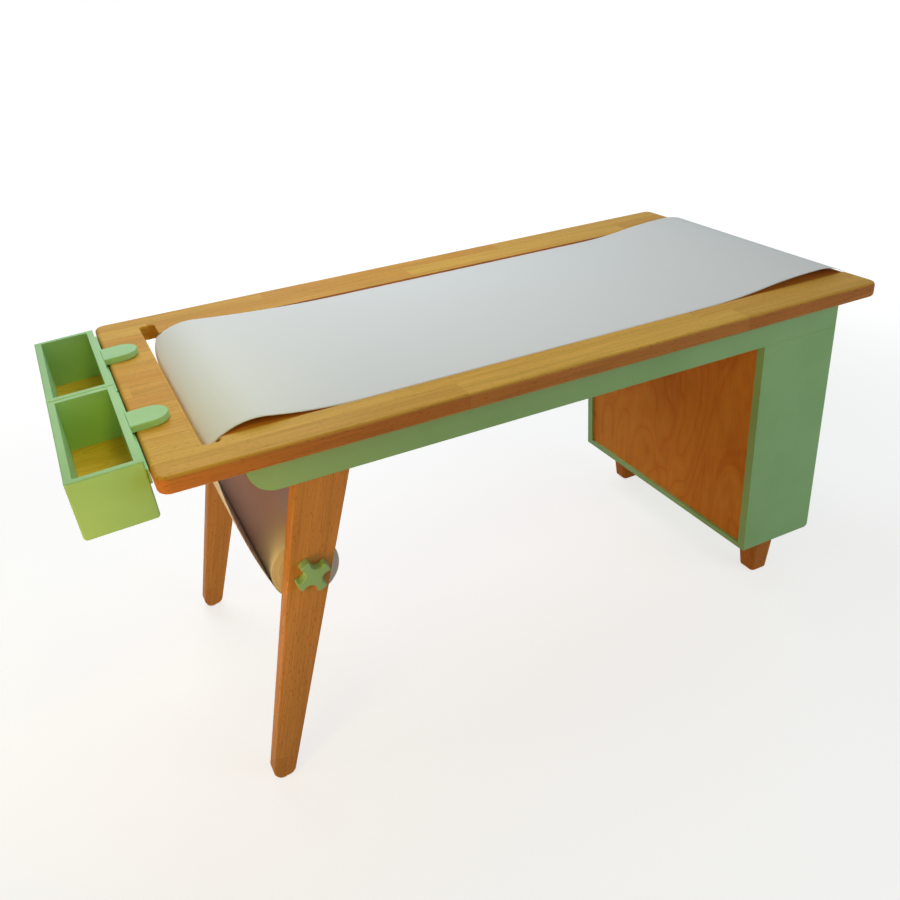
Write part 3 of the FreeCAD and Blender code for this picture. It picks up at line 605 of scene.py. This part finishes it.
@dataclass(frozen=True)
class WoundPaper(Finish):
    """The roll's paper: plain on the barrel, and fine rings of cut edges on the ends."""

    axis_x: float = 0.0
    axis_z: float = 0.0
    barrel: Tone = tone(229, 227, 234)
    ring_light: Tone = tone(220, 208, 216)
    ring_dark: Tone = tone(186, 168, 172)
    ring_scale: float = 2600.0
    ring_ramp: Ramp = (0.3, 0.7, 0.15, 0.75)
    band_scale: float = 330.0
    band_seed: float = 4.0
    band_ramp: Ramp = (0.3, 0.7, 0.9, 1.06)
    tooth_scale: float = 1400.0
    tooth_ramp: Ramp = (0.3, 0.7, 0.97, 1.01)
    end_ramp: Ramp = (0.4, 0.8)
    rough_ramp: Ramp = (0.3, 0.7, 0.82, 0.92)
    relief: float = 0.00008
    gloss: float = 0.05

    def paint(self, graph: Graph) -> Material:
        """Builds rings from the distance to the roll's axis.

        Args:
            graph: The empty material.

        Returns:
            The finished material.
        """
        spots = graph.place()
        side = graph.math("SUBTRACT", spots[0], self.axis_x)
        rise = graph.math("SUBTRACT", spots[2], self.axis_z)
        radius = graph.length(side, rise)
        ring_place = graph.point(graph.math("MULTIPLY", radius, self.ring_scale), 0.0, 0.0)
        fine = graph.noise(ring_place, detail=2.0, roughness=0.6)
        band_place = graph.point(graph.math("MULTIPLY", radius, self.band_scale), self.band_seed, 0.0)
        broad = graph.noise(band_place, detail=2.0, roughness=0.6)
        rings = graph.blend(graph.window(fine, *self.ring_ramp), self.ring_light, self.ring_dark)
        rings = graph.shade(rings, graph.window(broad, *self.band_ramp))
        tooth = graph.noise(graph.scaled(spots, self.tooth_scale), detail=2.0, roughness=0.6)
        barrel = graph.shade(self.barrel, graph.window(tooth, *self.tooth_ramp))
        on_end = graph.window(graph.facing(Axis.WIDTH), *self.end_ramp)
        height = graph.math("ADD", tooth, graph.math("MULTIPLY", fine, on_end))
        return graph.surface(
            graph.blend(on_end, barrel, rings),
            graph.window(tooth, *self.rough_ramp),
            graph.bump(height, self.relief),
            Specular_IOR_Level=self.gloss,
        )


@dataclass(frozen=True)
class Speckled(Finish):
    """A plain material with a fine speckle: core board, moulded plastic or plated steel."""

    base: Tone
    speck: Tone
    speck_scale: float = 700.0
    speck_ramp: Ramp = (0.35, 0.7)
    rough_span: tuple[float, float] = (0.3, 0.7)
    shiny: float = 0.4
    dull: float = 0.6
    depth: float = 0.00004
    metal: float = 0.0

    def paint(self, graph: Graph) -> Material:
        """Builds the speckle.

        Args:
            graph: The empty material.

        Returns:
            The finished material.
        """
        grain = graph.noise(graph.scaled(graph.place(), self.speck_scale), detail=3.0, roughness=0.6)
        return graph.surface(
            graph.blend(graph.window(grain, *self.speck_ramp), self.base, self.speck),
            graph.window(grain, *self.rough_span, self.shiny, self.dull),
            graph.bump(grain, self.depth),
            Metallic=self.metal,
        )


LEG_RUN = 0.150
LEG_RISE = 0.548
TOP_BEECH = Beech(
    "top_beech",
    # the upright edges get a painted shade, and the channel's floor a painted reddish bounce light
    painted_edge_shade=(0.83, 0.57, 1.0),
    # painted reddish bounce light on the channel's floor
    painted_floor_bounce=(1.15, 0.85, 0.9),
    floor_height=0.5735,
    slot_place=-0.45,
)
LEG_BEECH = Beech(
    "leg_beech",
    along=Axis.HEIGHT,
    across=Axis.LENGTH,
    through=Axis.WIDTH,
    lean=math.atan2(LEG_RUN, LEG_RISE),
    stave_width=0.07,
    stave_length=0.31,
    ruddy=tone(219, 144, 82),
    middle=tone(225, 155, 90),
    pale=tone(231, 163, 97),
)
FOOT_BEECH = Beech(
    "foot_beech",
    along=Axis.HEIGHT,
    across=Axis.LENGTH,
    through=Axis.WIDTH,
    stave_width=0.5,
    stave_length=0.5,
    stave_shift=0.5,
    ruddy=tone(216, 128, 62),
    middle=tone(220, 132, 65),
    pale=tone(224, 138, 69),
)
AXLE_BEECH = Beech("axle_beech", along=Axis.WIDTH, across=Axis.LENGTH, stave_width=0.5, stave_shift=0.5)
PANEL_PLY = RotaryPly("panel_ply")
BOX_PLY = RotaryPly("box_ply", along=Axis.LENGTH, base=tone(248, 204, 70), dark=tone(226, 170, 50))
GREEN = SatinPaint("green_satin")
SHEET_PAPER = DrawingPaper("sheet_paper")
CORE_BOARD = Speckled(
    "core_board",
    tone(196, 166, 128),
    tone(170, 138, 102),
    speck_scale=900.0,
    shiny=0.8,
    dull=0.95,
    depth=0.0001,
)
GLIDE_PLASTIC = Speckled("glide_plastic", tone(206, 202, 194), tone(196, 192, 184), shiny=0.35, dull=0.5)
PLATED_STEEL = Speckled(
    "plated_steel",
    tone(176, 178, 180),
    tone(150, 152, 156),
    speck_scale=1200.0,
    shiny=0.25,
    dull=0.42,
    metal=1.0,
)


def dress(node: str, finish: Finish) -> None:
    """Gives a solid of the frame its finish.

    Args:
        node: The solid's name.
        finish: The finish.
    """
    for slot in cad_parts[node].material_slots:
        slot.material = finish.material()
    LOG.info("dressed %s in %s", node, finish.name)


def arc(centre: np.ndarray, radius: float, start: float, stop: float, count: int) -> np.ndarray:
    """Gives points on an arc: centre plus radius times the cosine and sine of evenly spaced angles."""
    angle = np.linspace(start, stop, count)
    return centre + radius * np.stack([np.cos(angle), np.sin(angle)], axis=1)


def grid_mesh(
    name: str, points: np.ndarray, closed: tuple[bool, bool], material: Material
) -> bpy.types.Object:
    """Makes a smooth mesh from a grid of points, with one four-sided face between each four neighbours.

    Args:
        name: The piece's name.
        points: The points, as rows by columns by three.
        closed: Whether the last row joins the first, and the last column the first.
        material: The piece's material.

    Returns:
        The piece.
    """
    rows, columns = points.shape[:2]
    index = np.arange(rows * columns).reshape(rows, columns)
    index = np.concatenate([index, index[:1]]) if closed[0] else index
    index = np.concatenate([index, index[:, :1]], axis=1) if closed[1] else index
    corners = np.stack([index[:-1, :-1], index[1:, :-1], index[1:, 1:], index[:-1, 1:]], axis=-1)
    faces = corners.reshape(-1, 4)
    mesh = bpy.data.meshes.new(name)
    mesh.vertices.add(rows * columns)
    mesh.vertices.foreach_set("co", points.astype(np.float32).ravel())
    mesh.loops.add(faces.size)
    mesh.loops.foreach_set("vertex_index", faces.astype(np.int32).ravel())
    mesh.polygons.add(len(faces))
    mesh.polygons.foreach_set("loop_start", np.arange(0, faces.size, 4, dtype=np.int32))
    mesh.polygons.foreach_set("use_smooth", np.ones(len(faces), dtype=bool))
    mesh.update(calc_edges=True)
    mesh.validate()
    mesh.materials.append(material)
    piece = bpy.data.objects.new(name, mesh)
    bpy.context.scene.collection.objects.link(piece)
    LOG.info("built %s with %d faces", name, len(faces))
    return piece


@dataclass
class TableTop:
    """The glued beech top."""

    finish: Finish = TOP_BEECH

    def dress(self) -> None:
        """Dresses the top."""
        dress("tabletop", self.finish)


@dataclass
class Underframe:
    """Aprons, splayed legs, cleats, screws and glides."""

    paint: Finish = GREEN
    leg: Finish = LEG_BEECH
    cleat: Finish = TOP_BEECH

    def dress(self) -> None:
        """Dresses both long sides."""
        for side in Side:
            dress(f"{side.value}_apron", self.paint)
            dress(f"{side.value}_leg", self.leg)
            dress(f"{side.value}_cleat", self.cleat)
        dress("leg_glides", GLIDE_PLASTIC)
        dress("apron_screws", PLATED_STEEL)
        dress("top_screws", PLATED_STEEL)


@dataclass
class Cabinet:
    """The painted cabinet with its ply back, shelf and stub feet."""

    paint: Finish = GREEN
    back: Finish = PANEL_PLY
    foot: Finish = FOOT_BEECH

    def dress(self) -> None:
        """Dresses the carcass, the shelf and the feet."""
        for panel in ("near_side", "far_side", "bottom", "top", "shelf"):
            dress(f"cabinet_{panel}", self.paint)
        dress("cabinet_back_panel", self.back)
        dress("cabinet_dowels", AXLE_BEECH)
        for side in Side:
            dress(f"{side.value}_foot", self.foot)
        for metal in ("foot_bolts", "foot_washers", "foot_nuts", "shelf_pins"):
            dress(metal, PLATED_STEEL)
        dress("foot_glides", GLIDE_PLASTIC)


@dataclass
class HangingBox:
    """One of the two open boxes that hang on the table's end."""

    side: Side
    paint: Finish = GREEN
    floor: Finish = BOX_PLY

    def dress(self) -> None:
        """Dresses the walls, the tongue, the floor and the peg."""
        box = f"{self.side.value}_box"
        for wall in ("near_wall", "far_wall", "outer_wall", "inner_wall", "tongue", "strip"):
            dress(f"{box}_{wall}", self.paint)
        dress(f"{box}_floor", self.floor)
        dress(f"{box}_peg", AXLE_BEECH)


@dataclass
class PaperRoll:
    """The axle with its knobs, the core and the wound paper."""

    end_rings: int = 90
    barrel_rings: int = 40
    spokes: int = 160
    bore_rings: int = 4
    edge_round: float = 0.0004
    ripple: float = 0.0007
    ripple_fade: float = 0.004
    waves: tuple[Point, ...] = ((3.1, 1.0, 0.0), (7.7, 0.6, 1.0), (17.0, 0.5, 0.0))

    def dress(self) -> None:
        """Dresses the axle, the knobs and the core."""
        dress("roll_axle", AXLE_BEECH)
        for side in Side:
            dress(f"{side.value}_knob", GREEN)
        dress("roll_core", CORE_BOARD)

    def profile(self, inner: float, outer: float, length: float) -> np.ndarray:
        """Gives the roll's cross-section, a closed line of radius and place along the axis.

        Each end runs from the bore to the barrel, and every ring on it is set back by a sum of sines of its
        radius, because the layers slip a little against each other. A wave has a rate, a share and a phase.

        Args:
            inner: The bore's radius.
            outer: The barrel's radius.
            length: The roll's length.

        Returns:
            An array of radius and place.
        """
        radius = np.linspace(inner, outer - self.edge_round, self.end_rings)
        turns = 2.0 * np.pi * (radius - inner) / (outer - inner)
        sway = sum(share * np.sin(rate * turns + phase) for rate, share, phase in self.waves)
        slip = 0.5 + sway / (2.0 * sum(share for _, share, _ in self.waves))
        slip = self.ripple * slip * np.clip((outer - radius) / self.ripple_fade, 0.0, 1.0)
        near = np.stack([radius, slip], axis=1)
        along = np.linspace(self.edge_round, length - self.edge_round, self.barrel_rings)
        barrel = np.stack([np.full_like(along, outer), along], axis=1)
        far = np.stack([radius[::-1], length - slip[::-1]], axis=1)
        bore_place = np.linspace(length, 0.0, self.bore_rings + 2)[1:-1]
        bore = np.stack([np.full_like(bore_place, inner), bore_place], axis=1)
        return np.concatenate([near, barrel, far, bore])

    def build(self) -> bpy.types.Object:
        """Turns the cross-section about the roll's axis: x and z are radius times sine and cosine.

        Returns:
            The wound paper.
        """
        low, high = (np.array(corner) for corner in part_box("paper_roll"))
        core_low, core_high = (np.array(corner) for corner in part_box("roll_core"))
        middle = (low + high) / 2.0
        outer = (high[2] - low[2]) / 2.0
        inner = (core_high[2] - core_low[2]) / 2.0
        line = self.profile(inner, outer, high[1] - low[1])
        turn = np.linspace(0.0, 2.0 * np.pi, self.spokes, endpoint=False)
        reach, place = line[:, :1], line[:, 1:]
        x = middle[0] + reach * np.sin(turn)
        y = low[1] + place + np.zeros_like(x)
        z = middle[2] + reach * np.cos(turn)
        finish = WoundPaper("wound_paper", axis_x=float(middle[0]), axis_z=float(middle[2]))
        roll = grid_mesh("wound_roll", np.stack([x, y, z], axis=-1), (True, True), finish.material())
        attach(roll, "roll")
        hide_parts("paper_roll")
        return roll


@dataclass(frozen=True)
class SheetBend:
    """How one line along the sheet is bent: its near edge, its middle or its far edge."""

    arch_turn: float
    settle_place: float
    lift_place: float
    lift_end: float
    end_lift: float


@dataclass
class PaperSheet:
    """The sheet from the roll through the slot, over the arch, along the channel and over the end."""

    thickness: float = 0.0004
    flat_length: float = 1.3605
    wrap_gap: float = 0.0005
    wrap_turn: float = math.radians(50.0)
    web_radius: float = 0.74
    loop_radius: float = 0.0113
    arch_radius: float = 0.097
    crest_place: float = 0.140
    crest_rise: float = 0.0102
    channel_depth: float = 0.003
    drop_radius: float = 0.118
    end_place: float = 1.140
    near: SheetBend = SheetBend(
        arch_turn=math.radians(129.5),
        settle_place=0.285,
        lift_place=0.850,
        lift_end=1.086,
        end_lift=0.0117,
    )
    middle: SheetBend = SheetBend(
        arch_turn=math.radians(131.5),
        settle_place=0.330,
        lift_place=0.875,
        lift_end=1.095,
        end_lift=0.0106,
    )
    far: SheetBend = SheetBend(
        arch_turn=math.radians(122.0),
        settle_place=0.400,
        lift_place=0.900,
        lift_end=1.105,
        end_lift=0.0095,
    )
    curl_power: float = 14.0
    even_run: float = 0.3
    columns: int = 81
    wrap_points: int = 24
    web_points: int = 44
    loop_points: int = 22
    arch_points: int = 40
    tail_points: int = 40
    flat_points: int = 30
    lift_points: int = 24
    drop_points: int = 22

    def web_centre(self, roll: np.ndarray, wrap: float, loop: np.ndarray) -> np.ndarray:
        """Gives the centre of the wide arc that touches the roll and the small loop from outside both.

        The centre is as far from each circle's centre as the wide radius is larger than that circle's, so it
        is where two circles cross, on the side of the larger lengths.

        Args:
            roll: The roll's centre.
            wrap: The radius of the paper on the roll.
            loop: The loop's centre.

        Returns:
            The centre.
        """
        step = loop - roll
        span = float(np.hypot(*step))
        to_roll = self.web_radius - wrap
        to_loop = self.web_radius - self.loop_radius
        foot = (to_roll**2 - to_loop**2 + span**2) / (2.0 * span)
        rise = math.sqrt(to_roll**2 - foot**2)
        ahead = step / span
        aside = np.array([ahead[1], -ahead[0]])
        return roll + foot * ahead + rise * aside

    @staticmethod
    def s_bend(start: np.ndarray, stop: np.ndarray, count: int) -> np.ndarray:
        """Joins two level points by two equal arcs that turn opposite ways.

        Each arc's radius is the squared distance over four times the difference in height.

        Args:
            start: The first point.
            stop: The last point.
            count: How many points each arc has.

        Returns:
            The points.
        """
        step = stop - start
        radius = float(step @ step) / (4.0 * step[1])
        half = math.asin(step[0] / 2.0 / radius)
        angle = np.linspace(0.0, half, count)
        rising = np.stack([np.sin(angle), 1.0 - np.cos(angle)], axis=1) * radius
        return np.concatenate([start + rising, stop - rising[-2::-1]])

    def edge(self, bend: SheetBend, roll: np.ndarray, wrap: float, left: float, top: float) -> np.ndarray:
        """Gives one line along the sheet, of arcs and one flat run, seen from the near side.

        The arch goes on past its crest until it touches the wide arc that lays the sheet down on the
        channel's floor: both radii together are the squared step from crest to floor over twice its height.

        Args:
            bend: How this line is bent.
            roll: The roll's centre.
            wrap: The radius of the paper on the roll.
            left: The place of the top's end, at the roll.
            top: The height of the top.

        Returns:
            An array of places along the table and heights.
        """
        floor = top - self.channel_depth + self.thickness / 2.0
        crest = np.array([left + self.crest_place, top + self.crest_rise])
        arch = crest - np.array([0.0, self.arch_radius])
        aim = np.array([math.cos(bend.arch_turn), math.sin(bend.arch_turn)])
        loop = arch + (self.arch_radius - self.loop_radius) * aim
        web = self.web_centre(roll, wrap, loop)
        leave = math.atan2(*(roll - web)[::-1]) % (2.0 * math.pi)
        arrive = math.atan2(*(loop - web)[::-1]) % (2.0 * math.pi)
        settle = np.array([left + bend.settle_place, floor])
        step = settle - crest
        both_radii = float(step @ step) / (2.0 * -step[1])
        tail_radius = both_radii - self.arch_radius
        tail_turn = math.asin(step[0] / both_radii)
        tail = settle + np.array([0.0, tail_radius])
        lift = np.array([left + bend.lift_place, floor])
        lifted = np.array([left + bend.lift_end, top + bend.end_lift])
        drop = lifted - np.array([0.0, self.drop_radius])
        drop_turn = math.asin((self.end_place - bend.lift_end) / self.drop_radius)
        flat_share = np.linspace(0.0, 1.0, self.flat_points)[1:-1, None]
        runs = (
            arc(roll, wrap, leave + self.wrap_turn, leave, self.wrap_points)[:-1],
            arc(web, self.web_radius, leave, arrive, self.web_points)[:-1],
            arc(loop, self.loop_radius, arrive, bend.arch_turn, self.loop_points)[:-1],
            arc(arch, self.arch_radius, bend.arch_turn, UPWARD - tail_turn, self.arch_points)[:-1],
            arc(tail, tail_radius, DOWNWARD - tail_turn, DOWNWARD, self.tail_points),
            settle + (lift - settle) * flat_share,
            self.s_bend(lift, lifted, self.lift_points),
            arc(drop, self.drop_radius, UPWARD, UPWARD - drop_turn, self.drop_points)[1:],
        )
        return np.concatenate(runs)

    def build(self) -> bpy.types.Object:
        """Joins the near, middle and far bend lines, with a smooth change of bend across the sheet.

        Up to the crest, the middle line holds for most of the width and the edges curl away from it, by a
        high power of the place across. Further on, the sheet is ruled straight between its two edges.

        Returns:
            The sheet.
        """
        top_low, top_high = (np.array(corner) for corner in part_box("tabletop"))
        roll_low, roll_high = (np.array(corner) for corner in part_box("paper_roll"))
        sheet_low, sheet_high = (np.array(corner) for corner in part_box("paper_sheet"))
        roll = ((roll_low + roll_high) / 2.0)[[0, 2]]
        wrap = float(roll_high[2] - roll_low[2]) / 2.0 + self.wrap_gap
        fixed = (roll, wrap, float(top_low[0]), float(top_high[2]))
        near = self.edge(self.near, *fixed)
        middle = self.edge(self.middle, *fixed)
        far = self.edge(self.far, *fixed)
        lengths = (np.hypot(*np.diff(edge, axis=0).T).sum() for edge in (near, far))
        LOG.info("sheet edges %.4f and %.4f long", *lengths)
        across = np.linspace(0.0, 1.0, self.columns)
        ahead = np.clip((near[:, :1] - fixed[2] - self.crest_place) / self.even_run, 0.0, 1.0)
        to_far = ((1.0 - ahead) * across**self.curl_power + ahead * across)[..., None]
        to_near = ((1.0 - ahead) * (1.0 - across) ** self.curl_power + ahead * (1.0 - across))[..., None]
        line = near[:, None] * to_near + far[:, None] * to_far + middle[:, None] * (1.0 - to_near - to_far)
        y = np.broadcast_to(sheet_low[1] + (sheet_high[1] - sheet_low[1]) * across, line.shape[:2])
        points = np.stack([line[..., 0], y, line[..., 1]], axis=-1)
        sheet = grid_mesh("drawing_sheet", points, (False, False), SHEET_PAPER.material())
        solid = sheet.modifiers.new("thickness", "SOLIDIFY")
        solid.thickness = self.thickness
        solid.offset = 0.0
        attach(sheet, "table")
        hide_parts("paper_sheet")
        return sheet


@dataclass(frozen=True)
class Lamp:
    """A soft lamp that looks at a point of the table.

    Its size is in metres, and is that of a square unless there is a depth. Its power is in watts, and its
    spread is the angle of its beam.
    """

    name: str
    place: Point
    target: Point
    size: float
    power: float
    colour: Tone
    depth: float = 0.0
    spread: float = math.pi

    def build(self) -> None:
        """Makes the lamp."""
        data = bpy.data.lights.new(self.name, "AREA")
        data.shape = "RECTANGLE"
        data.size = self.size
        data.size_y = self.depth or self.size
        data.spread = self.spread
        data.energy = self.power
        data.color = self.colour
        lamp = bpy.data.objects.new(self.name, data)
        lamp.location = self.place
        lamp.rotation_mode = "QUATERNION"
        lamp.rotation_quaternion = (Vector(self.target) - Vector(self.place)).to_track_quat("-Z", "Y")
        lamp.visible_camera = False
        bpy.context.scene.collection.objects.link(lamp)
        LOG.info("lamp %s", self.name)


@dataclass
class Studio:
    """Floor, light, background and camera."""

    camera_place: Point = (-0.57196, -1.2476, 1.06997)
    azimuth: float = math.radians(23.85)
    drop: float = math.radians(28.682)
    tilt: float = math.radians(-4.625)
    lens: float = 35.634
    sensor: float = 36.0
    view_end: float = 200.0
    floor_half: float = 60.0
    floor_level: float = -0.0005
    sky: Tone = (1.0, 1.0, 0.88)
    sky_strength: float = 0.12
    floor_bounce: Tone = (0.62, 0.50, 0.36)
    floor_glow: float = 0.72
    floor_grey: float = 0.45
    floor_fade: tuple[float, float] = (1.0, 2.6)
    lamps: tuple[Lamp, ...] = (
        Lamp("over_left", (-0.05, 0.1, 1.45), (-0.35, 0.0, 0.57), 0.8, 2.3, (0.9, 0.97, 1.0)),
        Lamp("over_right", (0.9, 0.4, 2.4), (0.2, 0.0, 0.55), 1.8, 4.4, (0.75, 0.85, 1.0)),
        Lamp("back_left", (-0.2, 1.3, 1.7), (-0.3, 0.0, 0.57), 1.0, 13.3, (0.86, 0.93, 1.0)),
        Lamp("warm_near_left", (-0.8, -0.5, 0.38), (-0.57, -0.2, 0.53), 0.25, 1.15, (1.0, 0.6, 0.18)),
        Lamp("warm_high_left", (-1.6, -1.6, 1.6), (-0.3, 0.0, 0.5), 1.2, 6.3, (1.0, 0.79, 0.02)),
        Lamp("warm_low_left", (-1.8, 0.1, 0.4), (-0.2, 0.0, 0.3), 0.4, 2.2, (1.0, 0.87, 0.74)),
        Lamp("right_front", (1.4, -1.9, 1.0), (0.4, 0.0, 0.4), 1.4, 11.1, (0.72, 0.88, 1.0)),
        Lamp(
            "warm_boxes", (-0.4, -0.75, 1.25), (-0.57, 0.0, 0.52), 0.2, 0.095, (1.0, 0.93, 0.05), spread=0.7
        ),
        Lamp("under_top", (-0.41, 0.0, 0.505), (-0.4, 0.0, 0.37), 0.4, 0.034, (1.0, 0.54, 0.42), depth=0.03),
    )

    def build(self) -> None:
        """Makes the floor, the lamps, the sky and the camera."""
        self.build_floor()
        for lamp in self.lamps:
            lamp.build()
        self.build_sky()
        self.build_camera()
        bpy.context.scene.view_settings.view_transform = "Standard"

    @staticmethod
    def direct_view(tree: bpy.types.NodeTree) -> Socket:
        """Gives 1 for what the camera sees, straight or in a mirror or glass, and 0 for other light.

        Args:
            tree: The node tree.

        Returns:
            The socket.
        """
        rays = tree.nodes.new("ShaderNodeLightPath")
        seen = rays.outputs["Is Camera Ray"]
        for kind in ("Is Glossy Ray", "Is Transmission Ray"):
            either = tree.nodes.new("ShaderNodeMath")
            either.operation = "MAXIMUM"
            tree.links.new(seen, either.inputs[0])
            tree.links.new(rays.outputs[kind], either.inputs[1])
            seen = either.outputs[0]
        return seen

    def build_floor(self) -> None:
        """Makes a wide level floor that looks white, shows the shadow and throws back warm light."""
        ends = np.array([-self.floor_half, self.floor_half])
        x, y = np.meshgrid(ends, ends, indexing="ij")
        points = np.stack([x, y, np.full_like(x, self.floor_level)], axis=-1)
        graph = Graph("studio_floor")
        grey = graph.add("ShaderNodeBsdfDiffuse")
        grey.inputs["Color"].default_value = (self.floor_grey,) * 3 + (1.0,)
        glow = graph.add("ShaderNodeEmission")
        away = graph.length(*graph.place()[:2])
        graph.feed(glow.inputs["Strength"], graph.window(away, *self.floor_fade, self.floor_glow, 1.0))
        seen = graph.add("ShaderNodeAddShader")
        graph.feed(seen.inputs[0], grey.outputs[0])
        graph.feed(seen.inputs[1], glow.outputs[0])
        bounce = graph.add("ShaderNodeBsdfDiffuse")
        bounce.inputs["Color"].default_value = (*self.floor_bounce, 1.0)
        switch = graph.add("ShaderNodeMixShader")
        graph.feed(switch.inputs[0], self.direct_view(graph.tree))
        graph.feed(switch.inputs[1], bounce.outputs[0])
        graph.feed(switch.inputs[2], seen.outputs[0])
        graph.feed(graph.output.inputs["Surface"], switch.outputs[0])
        floor = grid_mesh("studio_floor", points, (False, False), graph.material)

    def build_sky(self) -> None:
        """Makes an even pale sky that the camera sees as white."""
        world = bpy.data.worlds.new("studio_sky")
        bpy.context.scene.world = world
        world.use_nodes = True
        tree = world.node_tree
        tree.nodes.clear()
        soft = tree.nodes.new("ShaderNodeBackground")
        soft.inputs["Color"].default_value = (*self.sky, 1.0)
        soft.inputs["Strength"].default_value = self.sky_strength
        white = tree.nodes.new("ShaderNodeBackground")
        white.inputs["Color"].default_value = (1.0, 1.0, 1.0, 1.0)
        white.inputs["Strength"].default_value = 1.0
        switch = tree.nodes.new("ShaderNodeMixShader")
        output = tree.nodes.new("ShaderNodeOutputWorld")
        tree.links.new(self.direct_view(tree), switch.inputs[0])
        tree.links.new(soft.outputs[0], switch.inputs[1])
        tree.links.new(white.outputs[0], switch.inputs[2])
        tree.links.new(switch.outputs[0], output.inputs["Surface"])

    def build_camera(self) -> None:
        """Makes the camera from its place and three angles.

        The view direction is turned by the azimuth from the width towards the length and by the drop below
        the horizon; the picture's right and up are then turned about it by the tilt.
        """
        data = bpy.data.cameras.new("camera")
        data.lens = self.lens
        data.sensor_width = self.sensor
        data.clip_end = self.view_end
        ahead = Vector(
            (
                math.sin(self.azimuth) * math.cos(self.drop),
                math.cos(self.azimuth) * math.cos(self.drop),
                -math.sin(self.drop),
            )
        )
        level = Vector((math.cos(self.azimuth), -math.sin(self.azimuth), 0.0))
        rise = level.cross(ahead)
        right = math.cos(self.tilt) * level + math.sin(self.tilt) * rise
        up = math.cos(self.tilt) * rise - math.sin(self.tilt) * level
        turn = Matrix((right, up, -ahead)).transposed().to_4x4()
        camera = bpy.data.objects.new("camera", data)
        camera.matrix_world = Matrix.Translation(self.camera_place) @ turn
        bpy.context.scene.collection.objects.link(camera)
        bpy.context.scene.camera = camera


def main() -> None:
    """Builds the paper, dresses every sub-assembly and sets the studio."""
    logging.basicConfig(level=logging.INFO, format="%(name)s: %(message)s")
    TableTop().dress()
    Underframe().dress()
    Cabinet().dress()
    for side in Side:
        HangingBox(side).dress()
    roll = PaperRoll()
    roll.dress()
    roll.build()
    PaperSheet().build()
    Studio().build()


if __name__ == "__main__":
    main()
